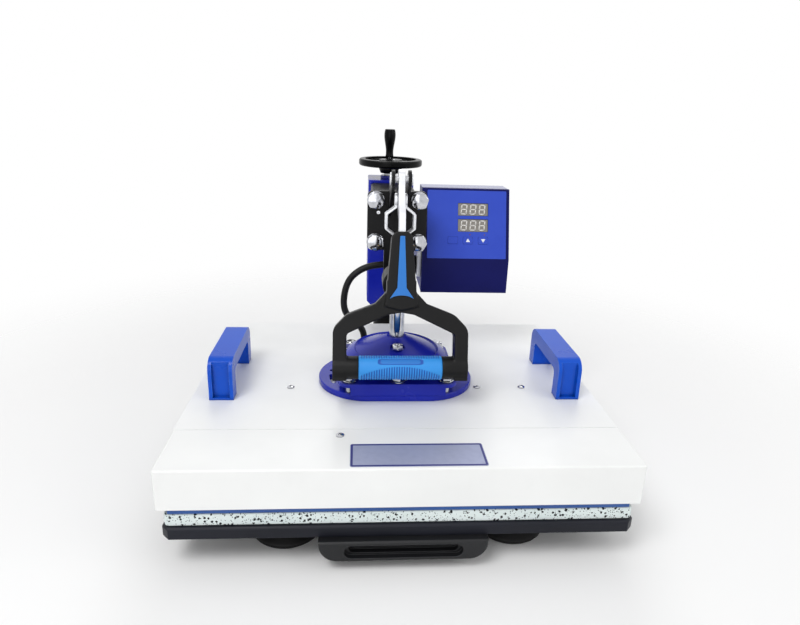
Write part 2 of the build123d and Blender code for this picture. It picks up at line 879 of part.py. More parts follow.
tang_foot = handle_place(lever_tang_length)
tang_head = handle_place(-lever_tang_width)
with BuildPart() as lever_plate:
    with BuildSketch(Plane.YZ.offset(-lever_thickness / 2)):
        with Locations((rod_y, pivot_z)):
            Circle(lever_eye_radius)
        with Locations((rod_y, pivot_z - lever_body_drop)):
            Circle(lever_body_radius)
        make_hull()
    extrude(amount=lever_thickness)
    with BuildSketch(Plane.YZ.offset(-lever_thickness / 2)):
        with Locations((rod_y - lever_body_step, pivot_z - lever_body_drop)):
            Circle(lever_body_radius - lever_body_step)
        with Locations(tang_head):
            Circle(lever_tang_width / 2)
        make_hull()
    extrude(amount=lever_thickness)
    with BuildSketch(Plane.YZ.offset(-lever_thickness / 2)):
        with BuildLine():
            Line(tang_head, tang_foot)
        with Locations(handle_place((lever_tang_length - lever_tang_width) / 2)):
            Rectangle(lever_tang_width, lever_tang_length + lever_tang_width, rotation=-handle_tilt)
    extrude(amount=lever_thickness)
    with BuildSketch(Plane.YZ.offset(-lever_thickness)):
        with Locations((rod_y, pivot_z)):
            Circle(pivot_pin_radius + pin_gap)
    extrude(amount=2 * lever_thickness, mode=Mode.SUBTRACT)
    with BuildSketch(Plane.YZ.offset(-lever_thickness)):
        with Locations(*pin_places):
            Circle(pivot_pin_radius + slot_clearance)
        make_hull()
    extrude(amount=2 * lever_thickness, mode=Mode.SUBTRACT)


def drop(half, down):
    """Point of the handle plane, given sideways from its middle and down from its top."""
    return (half, -down)


# Handle: neck, two arms and the bar across them
arm_bottom = grip_drop + grip_radius
with BuildPart() as handle_yoke:
    with BuildSketch(handle_plane) as yoke_outline:
        with BuildLine():
            Polyline(
                drop(0, yoke_start_drop),
                drop(neck_half_bottom, yoke_start_drop),
                drop(neck_half_bottom, neck_length),
                drop(flare_half, flare_drop),
                drop(shoulder_half, shoulder_drop),
                drop(yoke_half_width, yoke_side_drop),
                drop(yoke_half_width, arm_bottom),
                drop(yoke_half_width - arm_thickness, arm_bottom),
                drop(yoke_half_width - arm_thickness, inner_corner_drop),
                drop(crotch_half, crotch_drop),
                drop(0, crotch_drop - crotch_rise),
                close=True,
            )
        make_face()
        fillet(
            [
                yoke_outline.vertices().sort_by_distance(drop(shoulder_half, shoulder_drop))[0],
                yoke_outline.vertices().sort_by_distance(drop(yoke_half_width, yoke_side_drop))[0],
            ],
            shoulder_radius,
        )
        inner_corner = drop(yoke_half_width - arm_thickness, inner_corner_drop)
        fillet(yoke_outline.vertices().sort_by_distance(inner_corner)[0], yoke_inner_radius)
        mirror(about=Plane.YZ)
    extrude(amount=yoke_depth / 2, both=True)
    with BuildSketch(handle_plane):
        with BuildLine():
            Polyline(
                drop(neck_half_top, neck_corner),
                drop(neck_half_bottom, neck_length),
                drop(neck_foot_half, neck_foot_drop),
                drop(0, neck_end_drop),
                drop(0, 0),
                drop(neck_half_top - neck_corner, 0),
                close=True,
            )
        make_face()
        mirror(about=Plane.YZ)
    extrude(amount=neck_depth / 2, both=True)
    with BuildSketch(Plane.YZ.offset(-yoke_half_width)):
        with Locations(handle_place(grip_drop)):
            Circle(sleeve_radius)
    extrude(amount=2 * yoke_half_width)
    with BuildSketch(Plane.YZ.offset(-grip_length / 2)):
        with Locations(handle_place(grip_drop)):
            Circle(2 * grip_radius)
            Circle(grip_core_radius, mode=Mode.SUBTRACT)
    extrude(amount=grip_length, mode=Mode.SUBTRACT)
    with BuildSketch(Plane.YZ.offset(-lever_thickness / 2)):
        with Locations(handle_place(lever_tang_length / 2)):
            Rectangle(lever_tang_width, lever_tang_length, rotation=-handle_tilt)
    extrude(amount=lever_thickness, mode=Mode.SUBTRACT)

with BuildPart() as handle_inlay:
    with BuildSketch(handle_plane.offset(neck_depth / 2)):
        with BuildLine():
            inlay_side = Polyline(
                drop(inlay_top_half, inlay_top_drop),
                drop(inlay_bottom_half, inlay_bottom_drop),
                drop(inlay_foot_half, inlay_foot_drop),
            )
            inlay_arch = drop(inlay_foot_half / 2, inlay_foot_drop - 0.8 * inlay_foot_rise)
            inlay_crown = drop(0, inlay_foot_drop - inlay_foot_rise)
            ThreePointArc(inlay_side @ 1, inlay_arch, inlay_crown)
            Polyline(inlay_crown, drop(0, inlay_top_drop), inlay_side @ 0)
        make_face()
        mirror(about=Plane.YZ)
    extrude(amount=inlay_thickness)

with BuildPart() as handle_grip:
    with BuildSketch(Plane.YZ.offset(-grip_length / 2)):
        with Locations(handle_place(grip_drop)):
            Circle(grip_radius)
            Circle(grip_core_radius, mode=Mode.SUBTRACT)
    extrude(amount=grip_length)
    grip_edges = handle_grip.edges().filter_by(GeomType.CIRCLE)
    chamfer(grip_edges.filter_by(lambda edge: abs(edge.radius - grip_radius) < 0.01), grip_bevel)

# Links that join the lever to the plunger rod, joggled outwards to clear the lever
link_inner = lever_thickness / 2 + link_inset
link_profile_z = [
    (0.0, pin_c_z - link_eye_radius),
    (0.0, pin_c_z + link_straight),
    (link_flare, pin_c_z + link_straight + link_ramp),
    (link_flare, pin_b_z - link_straight - link_ramp),
    (0.0, pin_b_z - link_straight),
    (0.0, pin_b_z + link_eye_radius),
]
links = {}
for side, link_name in ((-1, "link_left"), (1, "link_right")):
    with BuildPart() as link:
        with BuildSketch(facing_front(rod_y + link_width)):
            with BuildLine():
                Polyline(
                    *[(side * (link_inner + out), z) for out, z in link_profile_z],
                    *[(side * (link_inner + link_thickness + out), z) for out, z in reversed(link_profile_z)],
                    close=True,
                )
            make_face()
        extrude(amount=2 * link_width)
        with BuildSketch(Plane.YZ.offset(-4 * link_flare)):
            with Locations((rod_y, pin_c_z), (rod_y, pin_b_z)):
                Circle(link_eye_radius)
            with Locations((rod_y, (pin_b_z + pin_c_z) / 2)):
                Rectangle(link_width, link_arm)
            with Locations((rod_y, pin_c_z), (rod_y, pin_b_z)):
                Circle(pivot_pin_radius, mode=Mode.SUBTRACT)
        extrude(amount=8 * link_flare, mode=Mode.INTERSECT)
    links[link_name] = link

with BuildPart() as link_pins:
    pin_length = 2 * (link_inner + link_thickness + link_pin_end)
    with Locations((0, rod_y, pin_b_z), (0, rod_y, pin_c_z)):
        Cylinder(pivot_pin_radius, pin_length, rotation=(0, 90, 0))

# Plunger rod with the tongue that the links hold
with BuildPart() as plunger_rod:
    with Locations((0, rod_y, dome_top)):
        Cylinder(rod_radius, rod_tongue_bottom - dome_top, align=(Align.CENTER, Align.CENTER, Align.MIN))
    with Locations((0, rod_y, dome_top)):
        Cylinder(rod_spigot_radius, rod_spigot, align=(Align.CENTER, Align.CENTER, Align.MAX))
    with Locations((0, rod_y, rod_tongue_bottom)):
        Cylinder(rod_collar_radius, rod_collar, align=(Align.CENTER, Align.CENTER, Align.MIN))
    with BuildSketch(Plane.YZ.offset(-lever_thickness / 2)):
        with Locations((rod_y, pin_c_z)):
            Circle(rod_tongue_depth / 2)
        with Locations((rod_y, (rod_tongue_bottom + pin_c_z) / 2)):
            Rectangle(rod_tongue_depth, pin_c_z - rod_tongue_bottom)
    extrude(amount=lever_thickness)
    with BuildSketch(Plane.YZ.offset(-lever_thickness)):
        with Locations((rod_y, pin_c_z)):
            Circle(pivot_pin_radius + pin_gap)
    extrude(amount=2 * lever_thickness, mode=Mode.SUBTRACT)

# Dome that spreads the push of the rod over the saddle
dome_bolt_points = [(0, rod_y - dome_bolt_y), (0, rod_y + dome_bolt_y)]
dome_seat_z = saddle_top + dome_bolt_seat
with BuildPart() as pressure_dome:
    with BuildSketch(Plane(origin=(0, rod_y, saddle_top), x_dir=(1, 0, 0), z_dir=(0, -1, 0))):
        with BuildLine():
            Polyline(
                (0, 0),
                (dome_neck_radius, 0),
                (dome_neck_radius, dome_neck),
                (dome_rim_radius - dome_rim_bevel, dome_rim_rise - dome_rim_bevel_drop),
                (dome_rim_radius, dome_rim_rise),
                (dome_rim_radius, dome_rim_rise + dome_rim),
                (dome_ridge_radius, dome_ridge_rise),
                (dome_ridge_radius - dome_groove_in, dome_ridge_rise - dome_groove),
                (dome_top_radius, dome_top_rise),
                (0, dome_top_rise),
                close=True,
            )
        make_face()
    revolve(axis=Axis((0, rod_y, 0), (0, 0, 1)))
    with Locations((0, rod_y, dome_top)):
        Cylinder(
            rod_spigot_radius + pin_gap, rod_spigot + slide_gap,
            align=(Align.CENTER, Align.CENTER, Align.MAX), mode=Mode.SUBTRACT,
        )
    bolt_seats = circles(Plane.XY.offset(dome_seat_z), dome_bolt_points, dome_seat_radius)
    extrude(bolt_seats, amount=dome_top_rise, mode=Mode.SUBTRACT)
    bolt_bores = circles(Plane.XY.offset(dome_seat_z), dome_bolt_points, dome_bolt_radius + pin_gap)
    extrude(bolt_bores, amount=-dome_bolt_length - screw_end_gap, mode=Mode.SUBTRACT)

# Saddle plate on two skirts, and the studs that hold it to the flange
corner_studs = [(x * stud_x, rod_y + y * stud_y) for x in (-1, 1) for y in (-1, 1)]
centre_studs = [(0, rod_y - centre_stud_y), (0, rod_y + centre_stud_y)]
with BuildPart() as saddle_plate:
    with BuildSketch(Plane.XY.offset(saddle_top - saddle_thickness)):
        with Locations((0, rod_y)):
            RectangleRounded(saddle_width, saddle_depth, saddle_corner)
        with Locations(*corner_studs, *centre_studs):
            Circle(stud_radius + pin_gap, mode=Mode.SUBTRACT)
    extrude(amount=saddle_thickness)
    with BuildSketch(Plane.XY.offset(flange_top)):
        for side in (-1, 1):
            with Locations((0, rod_y + side * (saddle_depth - skirt_thickness) / 2)):
                Rectangle(saddle_width - 2 * saddle_corner, skirt_thickness)
    extrude(amount=saddle_rise - saddle_thickness)

with BuildPart() as saddle_fasteners:
    corner_top = saddle_rise + washer + nut_height
    centre_top = saddle_rise + washer + thin_nut
    extrude(circles(Plane.XY.offset(flange_top), corner_studs, stud_radius), amount=corner_top)
    extrude(circles(Plane.XY.offset(flange_top), centre_studs, stud_radius), amount=centre_top)
    extrude(circles(Plane.XY.offset(saddle_top), corner_studs + centre_studs, washer_radius), amount=washer)
    extrude(hexagons(Plane.XY.offset(saddle_top + washer), corner_studs, nut_flats), amount=nut_height)
    extrude(hexagons(Plane.XY.offset(saddle_top + washer), centre_studs, nut_flats), amount=thin_nut)
    dome_seat = Plane.XY.offset(dome_seat_z)
    extrude(circles(dome_seat, dome_bolt_points, dome_bolt_radius), amount=-dome_bolt_length)
    extrude(hexagons(dome_seat, dome_bolt_points, dome_bolt_flats), amount=dome_bolt_head)

with BuildPart() as flange_plate:
    with BuildSketch(Plane.XY.offset(cover_top_z)):
        with Locations((0, rod_y)):
            SlotOverall(flange_width, flange_depth)
        for half_turn in (0, 180):
            hole_angle = radians(flange_hole_angle + half_turn)
            hole_x = flange_slot_radius * cos(hole_angle)
            hole_y = rod_y + flange_slot_radius * sin(hole_angle)
            with Locations((hole_x, hole_y)):
                Circle(flange_hole_radius, mode=Mode.SUBTRACT)
            with BuildLine(mode=Mode.PRIVATE) as slot_arc:
                slot_angle = flange_slot_start_angle + half_turn
                CenterArc((0, rod_y), flange_slot_radius, slot_angle, flange_slot_angle)
            SlotArc(slot_arc.edge(), flange_slot_width, mode=Mode.SUBTRACT)
    extrude(amount=flange_thickness)
    chamfer(flange_plate.faces().sort_by(Axis.Z)[-1].outer_wire().edges(), flange_chamfer)

# Cover: a rear shell and a front shell that meet at a seam
with BuildPart() as cover_top:
    with BuildSketch(Plane.XY.offset(cover_z)):
        with Locations((0, (seam_y + back_y) / 2)):
            Rectangle(cover_width, back_y - seam_y)
    extrude(amount=cover_height)
    fillet(cover_top.edges().filter_by(Axis.Z).group_by(Axis.Y)[-1], cover_corner)
    with BuildSketch(Plane.XY.offset(cover_z)):
        with Locations((0, (seam_y + back_y) / 2 - sheet)):
            Rectangle(cover_width - 2 * sheet, back_y - seam_y)
    extrude(amount=cover_height - sheet, mode=Mode.SUBTRACT)
    for place in cover_screw_places:
        if place[1] > -seam_distance:
            with Locations((place[0], rod_y + place[1], cover_top_z)):
                Cylinder(cover_screw_radius + pin_gap, 4 * sheet, mode=Mode.SUBTRACT)

front_length = seam_y - seam_gap - front_y
with BuildPart() as cover_front:
    with BuildSketch(Plane.XY.offset(cover_z)):
        with Locations((0, front_y + front_length / 2)):
            Rectangle(cover_width, front_length)
    extrude(amount=cover_height)
    fillet(cover_front.edges().filter_by(Axis.Z).group_by(Axis.Y)[0], cover_corner)
    fillet(cover_front.edges().filter_by(Axis.X).group_by(Axis.Y)[0].sort_by(Axis.Z)[-1], cover_edge)
    with BuildSketch(Plane.XY.offset(cover_z)):
        with Locations((0, front_y + front_length / 2 + sheet)):
            Rectangle(cover_width - 2 * sheet, front_length)
    extrude(amount=cover_height - sheet, mode=Mode.SUBTRACT)
    with BuildSketch(Plane.XY.offset(cover_top_z - 2 * sheet)):
        with Locations((0, seam_y)):
            Rectangle(cover_width - 4 * sheet, 2 * seam_tongue)
    extrude(amount=sheet)
    for place in cover_screw_places:
        if place[1] < -seam_distance:
            with Locations((place[0], rod_y + place[1], cover_top_z)):
                Cylinder(cover_screw_radius + pin_gap, 8 * sheet, mode=Mode.SUBTRACT)

with BuildPart() as cover_screws:
    screw_points = [(x, rod_y + y) for x, y in cover_screw_places]
    cover_face = Plane.XY.offset(cover_top_z)
    extrude(circles(cover_face, screw_points, cover_screw_radius), amount=-cover_screw_length)
    extrude(circles(cover_face, screw_points, cover_screw_head_radius), amount=cover_screw_head)
    fillet(cover_screws.faces().filter_by(Axis.Z).group_by(Axis.Z)[-1].edges(), cover_screw_round)

# Heated platen with its bosses, element, insulation and painted rim
boss_points = [(x * boss_x, rod_y + y * boss_y) for x in (-1, 1) for y in (-1, 1)]
with BuildPart() as heat_platen:
    with BuildSketch(Plane.XY.offset(platen_z)):
        with Locations((0, rod_y)):
            Rectangle(rim_width - 2 * rim_wall, rim_depth - 2 * rim_wall)
    extrude(amount=platen_thickness)
    boss_height = cover_top_z - sheet - platen_top
    extrude(circles(Plane.XY.offset(platen_top), boss_points, boss_radius), amount=boss_height)

with BuildPart() as heating_element:
    with BuildSketch(Plane.XY.offset(platen_top)):
        with Locations((0, rod_y)):
            Rectangle(element_width, element_depth)
        pitch = element_depth / (element_slots + 1)
        for index in range(element_slots):
            reach = element_margin if index % 2 else -element_margin
            with Locations((reach, rod_y - element_depth / 2 + pitch * (index + 1))):
                Rectangle(element_width, element_slot_width, mode=Mode.SUBTRACT)
        with Locations(*boss_points):
            Circle(boss_radius + boss_gap, mode=Mode.SUBTRACT)
    extrude(amount=element_thickness)

with BuildPart() as insulation:
    with BuildSketch(Plane.XY.offset(platen_top + element_thickness)):
        with Locations((0, rod_y)):
            RectangleRounded(insulation_width, insulation_depth, insulation_corner)
        with Locations(*boss_points):
            Circle(boss_radius + boss_gap, mode=Mode.SUBTRACT)
    extrude(amount=insulation_thickness)

with BuildPart() as platen_rim:
    with BuildSketch(Plane.XY.offset(platen_z + rim_lift)):
        with Locations((0, rod_y)):
            Rectangle(rim_width, rim_depth)
            Rectangle(rim_width - 2 * rim_wall, rim_depth - 2 * rim_wall, mode=Mode.SUBTRACT)
    extrude(amount=rim_height)

# Side handles on the cover
handle_mid_y = rod_y + (side_handle_back - side_handle_front) / 2
handle_length = side_handle_back + side_handle_front
side_handles = {}
for side, handle_name in ((-1, "side_handle_left"), (1, "side_handle_right")):
    with BuildPart() as side_handle:
        with BuildSketch(Plane.YZ.offset(side * side_handle_x - side_handle_width / 2)) as handle_outline:
            with Locations((handle_mid_y, cover_top_z + side_handle_height / 2)):
                Rectangle(handle_length, side_handle_height)
            fillet(handle_outline.vertices().group_by(Axis.Y)[-1], side_handle_corner)
            with BuildSketch(mode=Mode.PRIVATE) as hand_gap:
                with Locations((handle_mid_y, cover_top_z + (side_handle_height - side_handle_bar) / 2)):
                    Rectangle(handle_length - 2 * side_handle_bar, side_handle_height - side_handle_bar)
                fillet(hand_gap.vertices().group_by(Axis.Y)[-1], side_handle_inner_corner)
            add(hand_gap.sketch, mode=Mode.SUBTRACT)
        extrude(amount=side_handle_width)
        pocket_height = side_handle_height - side_handle_pocket_end
        for end, leg_y in ((-1, handle_mid_y - handle_length / 2), (1, handle_mid_y + handle_length / 2)):
            pocket_z = cover_top_z + side_handle_pocket_end + pocket_height / 2
            with Locations((side * side_handle_x, leg_y, pocket_z)):
                Box(
                    side_handle_width - 2 * side_handle_rib, 2 * side_handle_pocket, pocket_height,
                    mode=Mode.SUBTRACT,
                )
    side_handles[handle_name] = side_handle

# Control box: front with the sloping panel, rear shell, and what sits in them
foot_y = rod_y + box_foot_distance
head_y = rod_y + box_head_distance
box_back = rod_y + box_back_distance
box_mid_x = box_left + box_width / 2
slope = atan2(box_head_distance - box_foot_distance, box_top - box_edge)
panel_plane = Plane(origin=(box_mid_x, foot_y, box_edge), x_dir=(1, 0, 0), z_dir=(0, -cos(slope), sin(slope)))
front_wall = sheet / cos(slope)
with BuildPart() as box_front:
    with BuildSketch(Plane.YZ.offset(box_left)):
        with BuildLine():
            Polyline(
                (foot_y, box_bottom),
                (foot_y, box_edge),
                (head_y, box_top),
                (head_y + box_front_depth, box_top),
                (foot_y + box_front_depth, box_edge),
                (foot_y + box_front_depth, box_bottom),
                close=True,
            )
        make_face()
    extrude(amount=box_width)
    with BuildSketch(Plane.YZ.offset(box_left + sheet)):
        with BuildLine():
            Polyline(
                (foot_y + front_wall, box_bottom + sheet),
                (foot_y + front_wall, box_edge),
                (head_y + front_wall - sheet * tan(slope), box_top - sheet),
                (head_y + 2 * box_front_depth, box_top - sheet),
                (foot_y + 2 * box_front_depth, box_edge),
                (foot_y + 2 * box_front_depth, box_bottom + sheet),
                close=True,
            )
        make_face()
    extrude(amount=box_width - 2 * sheet, mode=Mode.SUBTRACT)
    with BuildSketch(panel_plane):
        with Locations((display_x, upper_display_up), (display_x, lower_display_up)):
            Rectangle(display_width + 2 * window_gap, display_height + 2 * window_gap)
        with Locations(*[(x, key_up) for _, x in key_places]):
            RectangleRounded(key_width + 2 * slide_gap, key_height + 2 * slide_gap, key_hole_corner)
    extrude(amount=-2 * sheet, mode=Mode.SUBTRACT)

with BuildPart() as box_shell:
    with BuildSketch(Plane.YZ.offset(box_left)):
        with BuildLine():
            Polyline(
                (foot_y + box_front_depth, box_bottom),
                (foot_y + box_front_depth, box_edge),
                (head_y + box_front_depth, box_top),
                (box_back, box_top),
                (box_back, box_bottom),
                close=True,
            )
        make_face()
    extrude(amount=box_width)
    with BuildSketch(Plane.YZ.offset(box_left + sheet)):
        with BuildLine():
            Polyline(
                (foot_y, box_bottom + sheet),
                (foot_y, box_top - sheet),
                (box_back - sheet, box_top - sheet),
                (box_back - sheet, box_bottom + sheet),
                close=True,
            )
        make_face()
    extrude(amount=box_width - 2 * sheet, mode=Mode.SUBTRACT)
    with BuildSketch(facing_front(box_back + sheet)):
        with Locations((rocker_x, rocker_z)):
            rocker_hole_width = rocker_width + 2 * (slide_gap + rocker_cheek + pin_gap)
            Rectangle(rocker_hole_width, rocker_height + 2 * rocker_gap)
        with Locations((inlet_x, inlet_z)):
            Rectangle(inlet_width, inlet_height)
    extrude(amount=3 * sheet, mode=Mode.SUBTRACT)

board_depth = key_length + key_travel + board_gap
with BuildPart() as displays:
    with BuildSketch(panel_plane.offset(-display_recess)):
        with Locations((display_x, upper_display_up), (display_x, lower_display_up)):
            Rectangle(display_width, display_height)
    extrude(amount=display_recess - board_depth)

with BuildPart() as circuit_board:
    with BuildSketch(panel_plane.offset(-board_depth)):
        with Locations((0, board_up)):
            Rectangle(board_width, board_height)
    extrude(amount=-board_thickness)

keys = {}
for key_name, key_x in key_places:
    with BuildPart() as key:
        with BuildSketch(panel_plane.offset(key_proud)):
            with Locations((key_x, key_up)):
                RectangleRounded(key_width, key_height, key_corner)
        extrude(amount=-(key_proud + key_length))
        fillet(key.faces().sort_by(Axis((0, 0, 0), panel_plane.z_dir))[-1].edges(), key_round)
    keys[key_name] = key

with BuildPart() as power_rocker:
    with BuildSketch(Plane.YZ.offset(rocker_x - rocker_width / 2)):
        with BuildLine():
            Polyline(
                (box_back - rocker_inside, rocker_z - rocker_height / 2 + rocker_taper),
                (box_back - rocker_inside, rocker_z + rocker_height / 2 - rocker_taper),
                (box_back + rocker_proud, rocker_z + rocker_height / 2 - rocker_end),
                (box_back + rocker_proud - rocker_dip, rocker_z),
                (box_back + rocker_proud - rocker_dip, rocker_z - rocker_height / 2 + rocker_end),
                close=True,
            )
        make_face()
    extrude(amount=rocker_width)
    with Locations((rocker_x, box_back - rocker_pivot_depth, rocker_z)):
        Cylinder(rocker_pin_radius + pin_gap, 2 * rocker_width, rotation=(0, 90, 0), mode=Mode.SUBTRACT)

with BuildPart() as rocker_frame:
    with BuildSketch(facing_front(box_back + rocker_bezel)):
        with Locations((rocker_x, rocker_z)):
            RectangleRounded(
                rocker_width + 2 * rocker_bezel_width,
                rocker_height + 2 * rocker_bezel_width,
                rocker_bezel_corner,
            )
            Rectangle(rocker_width + 2 * slide_gap, rocker_height + 2 * rocker_gap, mode=Mode.SUBTRACT)
    extrude(amount=rocker_bezel)
    for side in (-1, 1):
        cheek_x = rocker_x + side * (rocker_width / 2 + slide_gap + rocker_cheek / 2)
        with Locations((cheek_x, box_back - rocker_cheek_depth / 2, rocker_z)):
            Box(rocker_cheek, rocker_cheek_depth, rocker_cheek_height)
    rocker_pin_length = rocker_width + 2 * slide_gap + rocker_cheek
    with Locations((rocker_x, box_back - rocker_pivot_depth, rocker_z)):
        Cylinder(rocker_pin_radius, rocker_pin_length, rotation=(0, 90, 0))

with BuildPart() as power_inlet:
    with BuildSketch(facing_front(box_back + inlet_flange_thickness)):
        with Locations((inlet_x, inlet_z)):
            RectangleRounded(inlet_width + 2 * inlet_flange, inlet_height + 2 * inlet_flange, inlet_corner)
    extrude(amount=inlet_flange_thickness)
    with BuildSketch(facing_front(box_back)):
        with Locations((inlet_x, inlet_z)):
            Rectangle(inlet_width, inlet_height)
    extrude(amount=inlet_body)
    with BuildSketch(facing_front(box_back + inlet_flange_thickness)):
        with Locations((inlet_x, inlet_z)):
            RectangleRounded(inlet_width - 2 * inlet_wall, inlet_height - 2 * inlet_wall, inlet_pocket_corner)
    extrude(amount=inlet_pocket + inlet_flange_thickness, mode=Mode.SUBTRACT)
    with BuildSketch(facing_front(box_back)):
        with Locations(
            (inlet_x - inlet_pin_spacing, inlet_z),
            (inlet_x, inlet_z + inlet_pin_rise),
            (inlet_x + inlet_pin_spacing, inlet_z),
        ):
            Rectangle(inlet_pin, 2 * inlet_pin)
    extrude(amount=inlet_pocket + inlet_pin_root)

with BuildPart() as box_bracket:
    with Locations((
        beam_right + box_side_gap / 2, rod_y + (box_bracket_front + box_bracket_back) / 2,
        (box_bracket_bottom + box_bracket_top) / 2,
    )):
        Box(box_side_gap, box_bracket_back - box_bracket_front, box_bracket_top - box_bracket_bottom)

# Heater lead with a gland at each end
upper_gland_face = Plane(
    origin=(beam_right, rod_y + upper_gland_y, upper_gland_z), x_dir=(0, 1, 0), z_dir=(-1, 0, 0)
)
with BuildPart() as upper_gland:
    extrude(hexagons(upper_gland_face, [(0, 0)], gland_hex_flats), amount=gland_hex_height)
    with BuildSketch(upper_gland_face.offset(gland_hex_height)):
        Circle(gland_radius)
    with BuildSketch(upper_gland_face.offset(gland_length)):
        Circle(gland_tip_radius)
    loft()

lower_gland_face = Plane(
    origin=(lower_gland_x, rod_y + lower_gland_y, cover_top_z), x_dir=(1, 0, 0), z_dir=(0, 0, 1)
)
with BuildPart() as lower_gland:
    extrude(hexagons(lower_gland_face, [(0, 0)], gland_hex_flats), amount=gland_hex_height)
    with BuildSketch(lower_gland_face.offset(gland_hex_height)):
        Circle(gland_radius)
    with BuildSketch(lower_gland_face.offset(lower_gland_length)):
        Circle(gland_tip_radius)
    loft()

lead_points = [
    Vector(beam_right - gland_length, rod_y + upper_gland_y, upper_gland_z),
    *[Vector(x, rod_y + y, z) for x, y, z in lead_bends],
    Vector(lower_gland_x, rod_y + lower_gland_y, cover_top_z + lower_gland_length + lead_last_rise),
    Vector(lower_gland_x, rod_y + lower_gland_y, cover_top_z + lower_gland_length),
]
lead_shares = [0.9] + [0.45] * (len(lead_points) - 3) + [0.9]
lead_radii = []
for index in range(1, len(lead_points) - 1):
    run_in = lead_points[index] - lead_points[index - 1]
    run_out = lead_points[index + 1] - lead_points[index]
    free = min(run_in.length * lead_shares[index - 1], run_out.length * lead_shares[index])
    lead_radii.append(free / tan(radians(run_in.get_angle(run_out)) / 2))
print("lead radii", [round(radius, 1) for radius in lead_radii])
with BuildPart() as heater_cable:
    with BuildLine() as lead_path:
        FilletPolyline(*lead_points, radius=lead_radii)
    with BuildSketch(Plane(origin=lead_points[0], z_dir=lead_points[1] - lead_points[0])):
        Circle(lead_radius)
    sweep()

pieces = {
    "base_frame": base_frame,
    "rubber_feet": rubber_feet,
    "foot_screws": foot_screws,
    "post": post,
    "post_bolts": post_bolts,
    "fixed_rails": fixed_rails,
    "tray_runners": tray_runners,
    "lower_tray": lower_tray,
    "silicone_pad": silicone_pad,
    "drawer_pull": drawer_pull,
    "column_tube": column_tube,
    "column_cap": column_cap,
    "post_bushes": post_bushes,
    "thrust_plate": thrust_plate,
    "pressure_screw": pressure_screw,
    "handwheel": handwheel,
    "crank_pin": crank_pin,
    "crank_grip": crank_grip,
    "slide_block": slide_block,
    "arm_beam": arm_beam,
    "toggle_bracket": toggle_bracket,
    "bracket_bolts": bracket_bolts,
    "lever_pin": lever_pin,
    "rod_guide": rod_guide,
    "guide_bush": guide_bush,
    "lever_plate": lever_plate,
    "handle_yoke": handle_yoke,
    "handle_inlay": handle_inlay,
    "handle_grip": handle_grip,
    "link_pins": link_pins,
    "plunger_rod": plunger_rod,
    "pressure_dome": pressure_dome,
    "saddle_plate": saddle_plate,
    "saddle_fasteners": saddle_fasteners,
    "flange_plate": flange_plate,
    "cover_top": cover_top,
    "cover_front": cover_front,
    "cover_screws": cover_screws,
    "heat_platen": heat_platen,
    "heating_element": heating_element,
    "insulation": insulation,
    "platen_rim": platen_rim,
    "box_front": box_front,
    "box_shell": box_shell,
    "displays": displays,
    "circuit_board": circuit_board,
    "power_rocker": power_rocker,
    "rocker_frame": rocker_frame,
    "power_inlet": power_inlet,
    "box_bracket": box_bracket,
    "upper_gland": upper_gland,
    "lower_gland": lower_gland,
    "heater_cable": heater_cable,
    **links,
    **side_handles,
    **keys,
}
for piece_name, piece in pieces.items():
    save(piece, piece_name)

print("rod y", rod_y, "lift", round(platen_lift, 4), "link angle", round(link_angle, 4))
print("lead length", round(sum(edge.length for edge in lead_path.edges()), 2), "nodes", len(pieces))
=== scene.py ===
"""Dress the swing-away heat press: finer pieces, finishes, floor, soft light and the camera.

Every size is in metres in the press's own frame: X to the operator's right, Y away from the operator,
Z up from the table. Millimetre values are turned into metres by multiplying with MM.
"""
import json
import logging
from dataclasses import dataclass, field
from enum import Enum
from typing import Iterable, Sequence

import bmesh
import bpy
import numpy as np
from mathutils import Matrix, Vector

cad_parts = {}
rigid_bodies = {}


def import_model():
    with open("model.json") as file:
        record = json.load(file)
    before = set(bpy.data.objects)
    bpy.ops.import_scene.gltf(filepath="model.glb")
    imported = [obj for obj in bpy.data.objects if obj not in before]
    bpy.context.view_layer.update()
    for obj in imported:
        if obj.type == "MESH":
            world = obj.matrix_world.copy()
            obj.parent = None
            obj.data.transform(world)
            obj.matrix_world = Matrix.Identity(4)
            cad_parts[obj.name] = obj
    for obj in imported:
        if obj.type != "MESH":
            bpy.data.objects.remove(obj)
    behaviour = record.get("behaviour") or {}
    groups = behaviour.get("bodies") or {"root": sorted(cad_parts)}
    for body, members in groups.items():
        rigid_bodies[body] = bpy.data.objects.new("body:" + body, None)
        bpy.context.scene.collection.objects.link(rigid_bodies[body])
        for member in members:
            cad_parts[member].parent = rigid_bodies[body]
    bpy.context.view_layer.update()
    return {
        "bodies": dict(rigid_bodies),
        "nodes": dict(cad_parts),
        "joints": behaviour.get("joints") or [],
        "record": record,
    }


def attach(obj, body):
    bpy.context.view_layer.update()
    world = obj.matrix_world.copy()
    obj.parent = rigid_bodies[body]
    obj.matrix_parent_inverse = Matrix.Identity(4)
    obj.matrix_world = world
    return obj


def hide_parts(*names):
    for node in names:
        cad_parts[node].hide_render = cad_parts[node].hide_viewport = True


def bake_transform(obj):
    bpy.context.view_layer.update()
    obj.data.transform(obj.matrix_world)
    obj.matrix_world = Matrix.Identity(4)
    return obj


LOG = logging.getLogger("heat_press")
MM = 0.001
TURN = 2.0 * np.pi
Colour = tuple[float, float, float, float]
DUST = (205, 203, 198)


def linear(colour: Sequence[float]) -> Colour:
    """Turn a display colour of three numbers up to 255 into scene-linear red, green, blue and alpha.

    Args:
        colour: red, green and blue as they look on the screen.

    Returns:
        The same colour as the shaders need it.
    """
    level = np.asarray(colour, float) / 255.0
    flat = np.where(level <= 0.04045, level / 12.92, ((level + 0.055) / 1.055) ** 2.4)
    return (float(flat[0]), float(flat[1]), float(flat[2]), 1.0)


